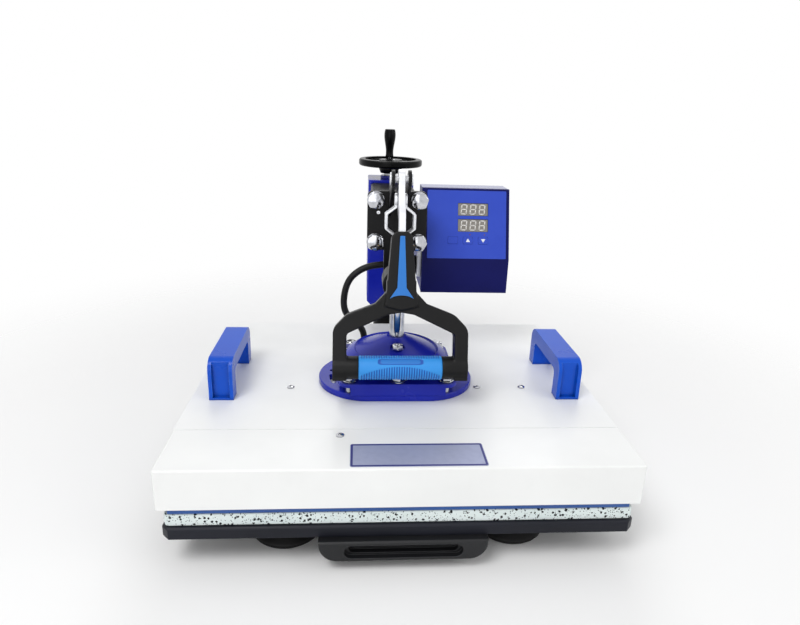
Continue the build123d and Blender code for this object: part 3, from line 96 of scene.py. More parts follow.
def smooth_step(low: float, high: float, value: np.ndarray) -> np.ndarray:
    """Rise softly from 0 to 1 while value goes from low to high.

    Args:
        low: where the rise starts.
        high: where it ends.
        value: the numbers to shape.

    Returns:
        t squared times (3 - 2 t), with t the share of the way from low to high, kept between 0 and 1.
    """
    share = np.clip((value - low) / (high - low), 0.0, 1.0)
    return share * share * (3.0 - 2.0 * share)


@dataclass
class Shell:
    """Points and faces of a piece before it becomes a mesh."""

    points: np.ndarray
    quads: np.ndarray = field(default_factory=lambda: np.zeros((0, 4), int))
    triangles: np.ndarray = field(default_factory=lambda: np.zeros((0, 3), int))

    @staticmethod
    def joined(shells: Iterable["Shell"]) -> "Shell":
        """Put several shells into one.

        Args:
            shells: the shells, left as they are.

        Returns:
            One shell with all their points and faces.
        """
        points, quads, triangles, start = [], [], [], 0
        for shell in shells:
            points.append(shell.points)
            quads.append(shell.quads + start)
            triangles.append(shell.triangles + start)
            start += len(shell.points)
        return Shell(np.concatenate(points), np.concatenate(quads), np.concatenate(triangles))

    @staticmethod
    def of_rings(rings: np.ndarray, closed: bool = False) -> "Shell":
        """Skin a stack of rings.

        Quad (i, j) joins point j and j + 1 of ring i to the same points of ring i + 1. Where the stack isn't
        closed, each end is filled by a fan of triangles round the middle of its ring.

        Args:
            rings: points as rings by points by 3.
            closed: whether the last ring joins the first, as on a torus.

        Returns:
            The skinned shell.
        """
        rows, columns, _ = rings.shape
        i = np.arange(rows if closed else rows - 1)[:, None]
        j = np.arange(columns)[None, :]
        down, across = (i + 1) % rows, (j + 1) % columns
        quads = np.stack(
            [i * columns + j, i * columns + across, down * columns + across, down * columns + j], axis=-1
        ).reshape(-1, 4)
        points = rings.reshape(-1, 3)
        if closed:
            return Shell(points, quads)
        j = np.arange(columns)
        across = (j + 1) % columns
        last = (rows - 1) * columns
        first_fan = np.stack([np.full(columns, len(points)), across, j], axis=-1)
        last_fan = np.stack([np.full(columns, len(points) + 1), last + j, last + across], axis=-1)
        middles = np.stack([rings[0].mean(axis=0), rings[-1].mean(axis=0)])
        return Shell(np.vstack([points, middles]), quads, np.vstack([first_fan, last_fan]))

    def placed(self, axes: np.ndarray, origin: Sequence[float]) -> "Shell":
        """Carry the shell from its own axes to the press.

        Args:
            axes: three rows, the press directions of the shell's own X, Y and Z.
            origin: the press point of the shell's own origin.

        Returns:
            The moved shell: each point is origin plus its own coordinates along the axes.
        """
        return Shell(self.points @ np.asarray(axes) + np.asarray(origin), self.quads, self.triangles)

    def piece(self, name: str, smooth_angle: float | None = 35.0) -> bpy.types.Object:
        """Make a mesh object at the origin, with merged doubles and faces outwards.

        Args:
            name: the piece's name.
            smooth_angle: edges sharper than this, in degrees, stay crisp; None leaves all faces flat.

        Returns:
            The new object.
        """
        mesh = bpy.data.meshes.new(name)
        loops = np.concatenate([self.quads.ravel(), self.triangles.ravel()]).astype(np.int32)
        starts = np.concatenate([
            np.arange(len(self.quads)) * 4,
            len(self.quads) * 4 + np.arange(len(self.triangles)) * 3,
        ]).astype(np.int32)
        mesh.vertices.add(len(self.points))
        mesh.vertices.foreach_set("co", self.points.astype(np.float32).ravel())
        mesh.loops.add(len(loops))
        mesh.loops.foreach_set("vertex_index", loops)
        mesh.polygons.add(len(starts))
        mesh.polygons.foreach_set("loop_start", starts)
        mesh.update(calc_edges=True)
        mesh.validate()
        return tidy_piece(name, mesh, smooth_angle)


def tidy_piece(name: str, mesh: bpy.types.Mesh, smooth_angle: float | None) -> bpy.types.Object:
    """Merge a new mesh's doubles, turn its faces outwards, shade it and link its object.

    Args:
        name: the piece's name.
        mesh: the mesh, which is changed.
        smooth_angle: edges sharper than this, in degrees, stay crisp; None leaves all faces flat.

    Returns:
        The linked object.
    """
    work = bmesh.new()
    work.from_mesh(mesh)
    bmesh.ops.remove_doubles(work, verts=work.verts, dist=1e-6)
    bmesh.ops.recalc_face_normals(work, faces=work.faces)
    work.to_mesh(mesh)
    work.free()
    if smooth_angle is not None:
        mesh.shade_smooth()
        mesh.set_sharp_from_angle(angle=np.radians(smooth_angle))
    piece = bpy.data.objects.new(name, mesh)
    bpy.context.scene.collection.objects.link(piece)
    return piece


def lathe(profile: Sequence[Sequence[float]], segments: int, closed: bool = False) -> Shell:
    """Turn a profile round the Z axis.

    A point (r, z) of the profile becomes the circle (r cos a, r sin a, z) over a whole turn of a.

    Args:
        profile: rows of radius and height, from one end to the other.
        segments: points on each circle.
        closed: whether the profile is a loop; otherwise its ends are filled.

    Returns:
        The turned shell.
    """
    rows = np.asarray(profile, float)
    angle = np.linspace(0.0, TURN, segments, endpoint=False)
    radius, height = rows[:, :1], rows[:, 1:]
    rings = np.stack([radius * np.cos(angle), radius * np.sin(angle), height + 0 * angle], axis=-1)
    return Shell.of_rings(rings, closed=closed)


def flat_plate(
    name: str, outline: np.ndarray, holes: Sequence[np.ndarray], thickness: float
) -> bpy.types.Object:
    """Cut a thin plate with holes from its outline, in its own XY plane, from Z 0 up.

    Args:
        name: the piece's name.
        outline: rows of x and y round the edge.
        holes: the same for each hole.
        thickness: how far it rises.

    Returns:
        The plate, still in its own plane, as a closed mesh.
    """
    work = bmesh.new()
    edges = []
    for loop in (outline, *holes):
        corners = [work.verts.new((x, y, 0.0)) for x, y in loop]
        edges += [work.edges.new((a, b)) for a, b in zip(corners, corners[1:] + corners[:1])]
    faces = bmesh.ops.triangle_fill(work, use_beauty=True, edges=edges)["geom"]
    faces = [item for item in faces if isinstance(item, bmesh.types.BMFace)]
    bmesh.ops.recalc_face_normals(work, faces=faces)
    raised = bmesh.ops.extrude_face_region(work, geom=faces)["geom"]
    lifted = [item for item in raised if isinstance(item, bmesh.types.BMVert)]
    bmesh.ops.translate(work, verts=lifted, vec=(0.0, 0.0, thickness))
    mesh = bpy.data.meshes.new(name)
    work.to_mesh(mesh)
    work.free()
    return tidy_piece(name, mesh, None)


def rounded_box_outline(width: float, height: float, corner: float, steps: int = 8) -> np.ndarray:
    """Outline of a rectangle with round corners, about the origin.

    Each corner is a quarter circle about a point that lies one corner radius in from both sides.

    Args:
        width: along x.
        height: along y.
        corner: the corner radius.
        steps: points on each quarter circle.

    Returns:
        Rows of x and y, anticlockwise.
    """
    quarter = np.linspace(0.0, np.pi / 2, steps)
    angle = np.concatenate([quarter + k * np.pi / 2 for k in range(4)])
    sign = np.repeat(np.array([[1, 1], [-1, 1], [-1, -1], [1, -1]]), steps, axis=0)
    middle = sign * np.array([width / 2 - corner, height / 2 - corner])
    return middle + corner * np.stack([np.cos(angle), np.sin(angle)], axis=-1)


def move_mesh(piece: bpy.types.Object, axes: np.ndarray, origin: Sequence[float]) -> bpy.types.Object:
    """Carry a piece's mesh from its own axes to the press, and leave its object at the origin.

    Args:
        piece: the piece, whose mesh is changed.
        axes: three rows, the press directions of its own X, Y and Z.
        origin: the press point of its own origin.

    Returns:
        The same piece.
    """
    turn = Matrix(np.asarray(axes).T.tolist()).to_4x4()
    piece.data.transform(Matrix.Translation(Vector(origin)) @ turn)
    piece.data.update()
    return piece


# Name of the mesh layer that marks where shade is painted into hollows.
HOLLOW_SHADE = "hollow_shade"


class Pattern(Enum):
    """What the surface of a finish looks like close up."""

    EVEN = "even"
    BRUSHED = "brushed"
    SPONGE = "sponge"


class Wiring:
    """A shader node tree while it is put together."""

    def __init__(self, tree: bpy.types.NodeTree) -> None:
        """Start on a node tree."""
        self.tree = tree

    def node(self, kind: str, feeds: dict | None = None, **settings: object) -> bpy.types.Node:
        """Add a shader node, set it and feed it.

        Args:
            kind: the node's type, without the words ShaderNode.
            feeds: for inputs by name or number, the socket that feeds each or the value that it holds.
            settings: the node's own settings by name.

        Returns:
            The new node.
        """
        made = self.tree.nodes.new("ShaderNode" + kind)
        for name, value in settings.items():
            setattr(made, name, value)
        for key, value in (feeds or {}).items():
            if isinstance(value, bpy.types.NodeSocket):
                self.tree.links.new(value, made.inputs[key])
            else:
                made.inputs[key].default_value = value
        return made

    def number(
        self, operation: str, *values: float | bpy.types.NodeSocket, **settings: object
    ) -> bpy.types.NodeSocket:
        """Work out one number from others.

        Args:
            operation: the sum, as the Math node names it.
            values: what goes in, each a socket or a plain number.
            settings: other settings of the node.

        Returns:
            The number's socket.
        """
        return self.node("Math", dict(enumerate(values)), operation=operation, **settings).outputs[0]

    def span(
        self, value: bpy.types.NodeSocket, low: float, high: float, to_low: float = 0.0, to_high: float = 1.0,
        **settings: object,
    ) -> bpy.types.NodeSocket:
        """Carry a number from one span onto another, without leaving it.

        Args:
            value: the number's socket.
            low: where the first span starts.
            high: where the first span ends.
            to_low: what low becomes.
            to_high: what high becomes.
            settings: other settings of the node.

        Returns:
            The carried number's socket.
        """
        feeds = {"Value": value, "From Min": low, "From Max": high, "To Min": to_low, "To Max": to_high}
        return self.node("MapRange", feeds, **settings).outputs["Result"]

    def noise(
        self, place: bpy.types.NodeSocket, scale: float | bpy.types.NodeSocket, detail: float = 2.0,
        roughness: float = 0.5,
    ) -> bpy.types.NodeSocket:
        """Add a cloudy noise at a place.

        Args:
            place: the point's socket.
            scale: how fine it is.
            detail: how many finer layers it has.
            roughness: how strong the finer layers are.

        Returns:
            The socket of its number, from 0 to 1.
        """
        feeds = {"Vector": place, "Scale": scale, "Detail": detail, "Roughness": roughness}
        return self.node("TexNoise", feeds).outputs["Fac"]

    def tones(
        self, share: bpy.types.NodeSocket, low: Colour, high: Colour, start: float = 0.35, end: float = 0.65
    ) -> bpy.types.NodeSocket:
        """Blend two colours while a number crosses a span.

        Args:
            share: the number's socket.
            low: the colour up to start.
            high: the colour from end on.
            start: where the blend starts.
            end: where the blend ends.

        Returns:
            The blended colour's socket.
        """
        ramp = self.node("ValToRGB", {"Fac": share})
        for element, position, colour in zip(ramp.color_ramp.elements, (start, end), (low, high)):
            element.position = position
            element.color = colour
        return ramp.outputs["Color"]

    def over(
        self, mask: bpy.types.NodeSocket, under: bpy.types.NodeSocket, colour: Colour
    ) -> bpy.types.NodeSocket:
        """Lay a colour over another where a mask is 1.

        Args:
            mask: the socket that says where.
            under: the socket of the colour below.
            colour: the colour on top.

        Returns:
            The mixed colour's socket.
        """
        mix = self.node("Mix", data_type="RGBA")
        below, above = [item for item in mix.inputs if item.type == "RGBA"]
        above.default_value = colour
        self.tree.links.new(mask, mix.inputs[0])
        self.tree.links.new(under, below)
        return [item for item in mix.outputs if item.type == "RGBA"][0]

    def effect(
        self, group: bpy.types.NodeTree, place: bpy.types.NodeSocket, **values: float
    ) -> bpy.types.NodeOutputs:
        """Place a shared effect in the tree.

        Args:
            group: the effect.
            place: the socket of the point on the piece.
            values: the effect's own numbers by name.

        Returns:
            The effect's results by name.
        """
        return self.node("Group", {"Place": place, **values}, node_tree=group).outputs

    def give(self, **results: bpy.types.NodeSocket) -> bpy.types.NodeTree:
        """Hand numbers out of a group, each under its name.

        Args:
            results: the sockets by name.

        Returns:
            The finished group.
        """
        for label in results:
            self.tree.interface.new_socket(label, in_out="OUTPUT", socket_type="NodeSocketFloat")
        end = self.tree.nodes.new("NodeGroupOutput")
        for label, socket in results.items():
            self.tree.links.new(socket, end.inputs[label])
        return self.tree


def start_group(name: str, **numbers: float) -> tuple[Wiring, bpy.types.NodeOutputs]:
    """Start a node group that takes a point called Place and some numbers.

    Args:
        name: the group's name.
        numbers: the name and first value of each number that goes in.

    Returns:
        The group's wiring, and what is given to it by name.
    """
    group = bpy.data.node_groups.new(name, "ShaderNodeTree")
    group.interface.new_socket("Place", in_out="INPUT", socket_type="NodeSocketVector")
    for label, value in numbers.items():
        socket = group.interface.new_socket(label, in_out="INPUT", socket_type="NodeSocketFloat")
        socket.default_value = value
    return Wiring(group), group.nodes.new("NodeGroupInput").outputs


class Effects:
    """The surface effects that several finishes share, each built once as a node group."""

    def __init__(self) -> None:
        """Build every effect."""
        self.grain = self._grain()
        self.streaks = self._streaks()
        self.edge_light_shade = self._edge_light_shade()
        self.dust = self._dust()
        self.specks = self._specks()

    @staticmethod
    def _grain() -> bpy.types.NodeTree:
        """Build a fine unevenness: a coarse noise plus a third of one four times finer.

        Returns:
            The group: Height is the unevenness, and Tone a broad drift over the piece.
        """
        net, given = start_group("fine_grain", Scale=900.0)
        place, scale = given["Place"], given["Scale"]
        coarse = net.noise(place, scale, 3.0)
        fine = net.noise(place, net.number("MULTIPLY", scale, 4.0), 2.0)
        height = net.number("MULTIPLY_ADD", fine, 0.33, coarse)
        return net.give(Height=height, Tone=net.noise(place, 14.0, 4.0))

    @staticmethod
    def _streaks() -> bpy.types.NodeTree:
        """Build brush marks: a noise on points that are squeezed across X, so that it is drawn out along X.

        Returns:
            The group: Height is the marks, and Tone a drift between them.
        """
        net, given = start_group("brush_marks", Scale=60.0, Stretch=30.0)
        apart = net.node("SeparateXYZ", {0: given["Place"]}).outputs
        across, upwards = (net.number("MULTIPLY", apart[axis], given["Stretch"]) for axis in (1, 2))
        squeezed = net.node("CombineXYZ", {0: apart[0], 1: across, 2: upwards}).outputs[0]
        marks = net.noise(squeezed, given["Scale"], 5.0)
        return net.give(Height=marks, Tone=net.noise(given["Place"], 150.0))

    @staticmethod
    def _edge_light_shade() -> bpy.types.NodeTree:
        """Build painted light for edges and corners: a highlight where a rounded normal leaves the true one
        in the open, broken by a noise.

        Returns:
            The group: Mask is where a highlight is painted, and the other output where shade is painted into
                a corner.
        """
        net, given = start_group("edge_highlight_and_corner_shade", Scale=160.0, Amount=0.3)
        true = net.node("NewGeometry").outputs["Normal"]
        rounded = net.node("Bevel", {"Radius": 0.9 * MM}, samples=4).outputs["Normal"]
        alike = net.node("VectorMath", {0: true, 1: rounded}, operation="DOT_PRODUCT").outputs["Value"]
        # Painted shade: ambient occlusion over a few millimetres finds the corners that get darkened.
        open_air = net.node("AmbientOcclusion", {"Distance": 6.0 * MM}, samples=6).outputs["AO"]
        # Painted highlight: open edges, where the rounded normal parts from the true one.
        free = net.number("MULTIPLY", net.span(alike, 0.985, 0.86), net.span(open_air, 0.7, 0.95))
        patchy = net.span(net.noise(given["Place"], given["Scale"], 4.0), 0.35, 0.65)
        both = net.number("MULTIPLY", free, patchy)
        mask = net.number("MULTIPLY", both, given["Amount"], use_clamp=True)
        # Mask paints a highlight on open edges; the second output paints shade where little open air reaches.
        return net.give(Mask=mask, Crease=net.span(open_air, 0.85, 0.2))

    @staticmethod
    def _dust() -> bpy.types.NodeTree:
        """Build a trace of dust on what faces up: the upward share of the normal times a noise.

        Returns:
            The group: Mask is the dusty share.
        """
        net, given = start_group("settled_dust", Scale=35.0, Amount=0.1)
        upward = net.node("SeparateXYZ", {0: net.node("NewGeometry").outputs["Normal"]}).outputs[2]
        noise = net.noise(given["Place"], given["Scale"], 6.0, 0.65)
        both = net.number("MULTIPLY", net.span(upward, 0.35, 1.0), noise)
        return net.give(Mask=net.number("MULTIPLY", both, given["Amount"], use_clamp=True))

    @staticmethod
    def _specks() -> bpy.types.NodeTree:
        """Build scattered flecks: the inside of some cells of a bent cell pattern, each of its own size.

        Returns:
            The group: Mask is the flecks, and Pores the height of a finer cell pattern.
        """
        net, given = start_group("flecks", Scale=330.0, Share=0.62)
        place = given["Place"]
        bend = net.node("TexNoise", {"Vector": place, "Scale": 420.0}).outputs["Color"]
        spread = net.node("VectorMath", {0: bend, "Scale": 2.2 * MM}, operation="SCALE").outputs[0]
        bent = net.node("VectorMath", {0: place, 1: spread}, operation="ADD").outputs[0]
        cells = net.node("TexVoronoi", {"Vector": bent, "Scale": given["Scale"]}).outputs
        lot = net.node("SeparateColor", {0: cells["Color"]}).outputs
        chosen = net.number("LESS_THAN", lot[0], given["Share"])
        inside = net.number("LESS_THAN", cells["Distance"], net.span(lot[1], 0.0, 1.0, 0.14, 0.42))
        pores = net.node("TexVoronoi", {"Vector": place, "Scale": 1300.0}).outputs["Distance"]
        return net.give(Mask=net.number("MULTIPLY", chosen, inside), Pores=pores)


@dataclass(frozen=True)
class Finish:
    """One material: its colours, how it shines and what its surface is like close up."""

    name: str
    colour: tuple[int, int, int]
    drift: tuple[int, int, int]
    roughness: float
    pattern: Pattern = Pattern.EVEN
    roughness_drift: float = 0.08
    metallic: float = 0.0
    coat: float = 0.0
    coat_roughness: float = 0.1
    grain_scale: float = 900.0
    grain_height: float = 0.00002
    # Painted highlight: edge is the paler colour painted on open edges, as strongly as the amount below.
    edge: tuple[int, int, int] = (150, 150, 155)
    edge_highlight_amount: float = 0.0
    # Painted shade: how strongly corners are darkened; crease_shade below is the share of the colour left
    # there.
    corner_shade_amount: float = 0.5
    # Painted shade: the darker colour laid into hollows marked on the mesh.
    hollow_shade: tuple[int, int, int] | None = None
    dust_amount: float = 0.04
    fleck: tuple[int, int, int] = (35, 38, 40)
    specular: float = 0.5
    crease_shade: float = 0.45
    speck_lift: float = 2.6

    def build(self, effects: Effects) -> bpy.types.Material:
        """Make the node material.

        The base colour drifts between two tones, takes painted shade in corners and in marked hollows, a
        painted highlight on open edges and a little pale dust on top; the roughness follows the same tone,
        and the grain's height bends the normal.

        Args:
            effects: the shared effects.

        Returns:
            The material.
        """
        material = bpy.data.materials.new(self.name)
        material.use_nodes = True
        net = Wiring(material.node_tree)
        shader = net.tree.nodes["Principled BSDF"].inputs
        shader["Metallic"].default_value = self.metallic
        shader["Coat Weight"].default_value = self.coat
        shader["Coat Roughness"].default_value = self.coat_roughness
        shader["Specular IOR Level"].default_value = self.specular
        place = net.node("TexCoord").outputs["Object"]
        base = effects.streaks if self.pattern is Pattern.BRUSHED else effects.grain
        surface = net.effect(base, place, Scale=self.grain_scale)
        tone, height = surface["Tone"], surface["Height"]
        colour = net.tones(tone, linear(self.colour), linear(self.drift))
        if self.pattern is Pattern.SPONGE:
            small = net.effect(effects.specks, place, Scale=640.0, Share=0.5)
            speck = linear([self.speck_lift * level for level in self.fleck])
            colour = net.over(small["Mask"], colour, speck)
            large = net.effect(effects.specks, place)
            colour = net.over(large["Mask"], colour, linear(self.fleck))
            height = large["Pores"]
        # Painted shade in the hollows marked on the mesh.
        if self.hollow_shade is not None:
            groove = net.node("Attribute", attribute_name=HOLLOW_SHADE).outputs["Fac"]
            colour = net.over(groove, colour, linear(self.hollow_shade))
        if self.edge_highlight_amount > 0.0:
            edge_light_shade = net.effect(effects.edge_light_shade, place, Amount=self.edge_highlight_amount)
            # Painted shade in corners: the colour scaled down where little open air reaches.
            corner_shade = net.number("MULTIPLY", edge_light_shade["Crease"], self.corner_shade_amount)
            shaded = linear([self.crease_shade * level for level in self.colour])
            colour = net.over(corner_shade, colour, shaded)
            # Painted highlight on open edges.
            colour = net.over(edge_light_shade["Mask"], colour, linear(self.edge))
        dust = net.effect(effects.dust, place, Amount=self.dust_amount)
        colour = net.over(dust["Mask"], colour, linear(DUST))
        smoothest = max(self.roughness - self.roughness_drift, 0.02)
        roughest = min(self.roughness + self.roughness_drift, 1.0)
        bump = net.node("Bump", {"Height": height, "Distance": self.grain_height, "Strength": 1.0})
        net.tree.links.new(colour, shader["Base Color"])
        net.tree.links.new(net.span(tone, 0.3, 0.7, smoothest, roughest), shader["Roughness"])
        net.tree.links.new(bump.outputs["Normal"], shader["Normal"])
        return material


FINISHES = {
    finish.name: finish
    for finish in (
        Finish("white_cover", (241, 242, 241), (236, 237, 236), 0.4, Pattern.EVEN, 0.05, coat=0.2,
               coat_roughness=0.2, grain_scale=500.0, grain_height=0.00001, dust_amount=0.02,
               edge=(244, 244, 246), edge_highlight_amount=0.3, corner_shade_amount=0.25),
        Finish("blue_coat", (20, 32, 158), (27, 41, 170), 0.24, Pattern.EVEN, 0.05, coat=0.06,
               coat_roughness=0.06, grain_scale=320.0, grain_height=0.00002, edge=(72, 84, 205),
               edge_highlight_amount=0.5, dust_amount=0.0, specular=0.22),
        Finish("black_coat", (8, 8, 9), (13, 13, 15), 0.4, Pattern.EVEN, 0.08,
               grain_scale=700.0, grain_height=0.00004, edge=(120, 120, 125), edge_highlight_amount=0.6,
               dust_amount=0.01, specular=0.2),
        Finish("slate_coat", (18, 20, 28), (25, 27, 36), 0.45, Pattern.EVEN, 0.08, grain_scale=700.0,
               edge=(96, 100, 112), edge_highlight_amount=0.6, dust_amount=0.0, specular=0.22),
        Finish("pull_black", (17, 18, 21), (22, 23, 26), 0.32, Pattern.EVEN, 0.08, grain_scale=1200.0,
               edge=(80, 80, 86), edge_highlight_amount=0.5, dust_amount=0.01, specular=0.35),
        Finish("strip_blue", (22, 74, 148), (28, 84, 158), 0.4, Pattern.EVEN, 0.06, coat=0.2,
               edge=(80, 135, 200), edge_highlight_amount=0.4, dust_amount=0.0),
        Finish("panel_blue", (15, 18, 78), (19, 22, 88), 0.42, Pattern.EVEN, 0.05,
               edge=(84, 90, 170), edge_highlight_amount=0.6, dust_amount=0.0, specular=0.1),
        Finish("film_blue", (52, 76, 186), (58, 83, 193), 0.4, Pattern.EVEN, 0.05,
               grain_scale=2200.0, grain_height=0.000006, dust_amount=0.0, specular=0.15),
        Finish("shell_grey", (152, 154, 180), (161, 163, 188), 0.42, Pattern.EVEN, 0.06, grain_scale=600.0,
               edge=(225, 223, 232), edge_highlight_amount=0.3, dust_amount=0.03),
        Finish("black_plastic", (9, 9, 10), (14, 14, 15), 0.42, Pattern.EVEN, 0.08, grain_scale=1100.0,
               grain_height=0.00009, edge=(84, 84, 88), edge_highlight_amount=0.5, dust_amount=0.01, specular=0.2),
        Finish("wheel_black", (3, 3, 4), (5, 5, 6), 0.28, Pattern.EVEN, 0.06, grain_scale=500.0,
               edge=(70, 70, 74), edge_highlight_amount=0.4, dust_amount=0.0, specular=0.1),
        Finish("sky_plastic", (36, 112, 194), (42, 120, 202), 0.32, Pattern.EVEN, 0.06, coat=0.2,
               grain_scale=1500.0, grain_height=0.00001, dust_amount=0.0, edge=(120, 185, 245),
               edge_highlight_amount=0.4, corner_shade_amount=0.6, specular=0.25),
        Finish("sky_rubber", (36, 136, 216), (44, 145, 224), 0.5, Pattern.EVEN, 0.08,
               grain_scale=2200.0, grain_height=0.00002, dust_amount=0.0, hollow_shade=(18, 80, 170)),
        Finish("royal_plastic", (1, 74, 190), (5, 83, 200), 0.32, Pattern.EVEN, 0.07, coat=0.08,
               grain_scale=1500.0, grain_height=0.00002, edge=(96, 150, 235), edge_highlight_amount=0.7,
               dust_amount=0.0, corner_shade_amount=0.8, specular=0.22),
        Finish("zinc_steel", (230, 231, 235), (225, 227, 231), 0.34, Pattern.BRUSHED, 0.04, metallic=0.7,
               grain_scale=90.0, grain_height=0.000006, edge=(244, 244, 246), edge_highlight_amount=0.3,
               dust_amount=0.0),
        Finish("bright_chrome", (204, 205, 210), (178, 180, 185), 0.12, Pattern.BRUSHED, 0.05, metallic=1.0,
               grain_scale=140.0, grain_height=0.000004, dust_amount=0.0, edge=(250, 250, 250),
               edge_highlight_amount=0.2, corner_shade_amount=0.8),
        Finish("cast_plate", (150, 152, 156), (164, 166, 170), 0.5, Pattern.EVEN, 0.1, metallic=0.9,
               grain_scale=260.0, grain_height=0.00006),
        Finish("bush_brass", (196, 162, 92), (178, 146, 82), 0.35, Pattern.BRUSHED, 0.1, metallic=1.0,
               grain_scale=90.0, grain_height=0.00001),
        Finish("black_rubber", (9, 9, 10), (14, 14, 15), 0.5, Pattern.EVEN, 0.1, grain_scale=1800.0,
               grain_height=0.00003, edge=(60, 60, 62), edge_highlight_amount=0.25, dust_amount=0.01, specular=0.25),
        Finish("white_sponge", (218, 229, 228), (226, 236, 235), 0.85, Pattern.SPONGE, 0.08,
               grain_scale=600.0, grain_height=0.0003, dust_amount=0.0, specular=0.2),
        Finish("wool_blanket", (214, 208, 190), (226, 221, 206), 0.95, Pattern.EVEN, 0.04, grain_scale=420.0,
               grain_height=0.0004, specular=0.2),
        Finish("display_face", (122, 118, 111), (132, 128, 121), 0.22, Pattern.EVEN, 0.05, coat=0.2,
               grain_scale=2400.0, grain_height=0.000003, dust_amount=0.0),
        Finish("pale_segment", (226, 223, 218), (220, 217, 212), 0.4, Pattern.EVEN, 0.05,
               grain_scale=2400.0, grain_height=0.000003, dust_amount=0.0),
        Finish("green_board", (30, 92, 52), (36, 104, 60), 0.45, Pattern.EVEN, 0.08),
        Finish("gloss_black", (7, 7, 8), (11, 11, 12), 0.22, Pattern.EVEN, 0.06, coat=0.2,
               grain_height=0.000008, edge=(60, 60, 64), edge_highlight_amount=0.3, dust_amount=0.01, specular=0.4),
        Finish("print_white", (236, 238, 242), (228, 230, 235), 0.45, Pattern.EVEN, 0.05,
               grain_scale=2400.0, grain_height=0.000003, dust_amount=0.0),
        Finish("plate_silver", (160, 166, 192), (156, 162, 189), 0.4, Pattern.BRUSHED, 0.06, metallic=0.3,
               grain_scale=120.0, grain_height=0.000004, dust_amount=0.02),
        Finish("plate_frame", (38, 42, 112), (44, 48, 120), 0.4, Pattern.EVEN, 0.06,
               grain_scale=2000.0, grain_height=0.000004, dust_amount=0.0),
        Finish("lamp_lens", (96, 36, 48), (106, 42, 52), 0.2, Pattern.EVEN, 0.04, coat=0.4,
               grain_scale=1500.0, grain_height=0.000004, dust_amount=0.0),
    )
}


class Palette:
    """The built materials, each made when it is first used."""

    def __init__(self) -> None:
        """Build the shared effects and start with no material."""
        self.effects = Effects()
        self.made: dict[str, bpy.types.Material] = {}

    def dress(self, piece: bpy.types.Object, finish: str) -> bpy.types.Object:
        """Give a piece one finish on all its faces.

        Args:
            piece: the piece, whose materials are replaced.
            finish: the name of its finish.

        Returns:
            The same piece.
        """
        if finish not in self.made:
            self.made[finish] = FINISHES[finish].build(self.effects)
        piece.data.materials.clear()
        piece.data.materials.append(self.made[finish])
        return piece


@dataclass
class Workshop:
    """What each sub-assembly needs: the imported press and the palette."""

    frame: dict
    palette: Palette

    def add(
        self, piece: bpy.types.Object, body: str, finish: str, slot: str | None = None,
        replaces: Sequence[str] = (),
    ) -> bpy.types.Object:
        """Dress a new piece, let it ride on a body and report it.

        Args:
            piece: the finished mesh object.
            body: the body that it moves with.
            finish: the name of its finish.
            slot: not used.
            replaces: the solids that it stands for.

        Returns:
            The same piece.
        """
        self.palette.dress(piece, finish)
        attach(piece, body)
        if replaces:
            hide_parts(*replaces)
        LOG.info("%s rides on %s: %d faces", piece.name, body, len(piece.data.polygons))
        return piece

    def solid(self, name: str, finish: str, bevel: float = 0.4, angle: float = 35.0) -> None:
        """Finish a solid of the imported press: soft edges by modifiers, smooth shading and a material.

        Args:
            name: the solid's name.
            finish: the name of its finish.
            bevel: how wide its edges are rounded, in millimetres; 0 for none.
            angle: edges sharper than this, in degrees, are rounded.
        """
        piece = self.frame["nodes"][name]
        piece.data.polygons.foreach_set("use_smooth", np.ones(len(piece.data.polygons), bool))
        weld = piece.modifiers.new("weld", "WELD")
        weld.merge_threshold = 0.01 * MM
        flat = piece.modifiers.new("flat_faces", "DECIMATE")
        flat.decimate_type = "DISSOLVE"
        flat.angle_limit = np.radians(0.6)
        if bevel > 0.0:
            edge = piece.modifiers.new("soft_edges", "BEVEL")
            edge.width = bevel * MM
            edge.segments = 2
            edge.limit_method = "ANGLE"
            edge.angle_limit = np.radians(angle)
            edge.harden_normals = True
        even = piece.modifiers.new("even_normals", "WEIGHTED_NORMAL")
        even.keep_sharp = True
        self.palette.dress(piece, finish)
        LOG.info("%s keeps its solid, in %s", name, finish)


PRESS_AXES = np.eye(3)
TOWARDS_OPERATOR = np.array([[1.0, 0.0, 0.0], [0.0, 0.0, 1.0], [0.0, -1.0, 0.0]])


def spun(degrees: float) -> np.ndarray:
    """Rows: the X, Y and Z axes turned about Z by some degrees."""
    cos, sin = np.cos(np.radians(degrees)), np.sin(np.radians(degrees))
    return np.array([[cos, sin, 0.0], [-sin, cos, 0.0], [0.0, 0.0, 1.0]])


def rod(radius: float, low: float, high: float, segments: int = 48) -> Shell:
    """Plain round rod about its own Z axis, from low to high."""
    return lathe([(radius, low), (radius, high)], segments)


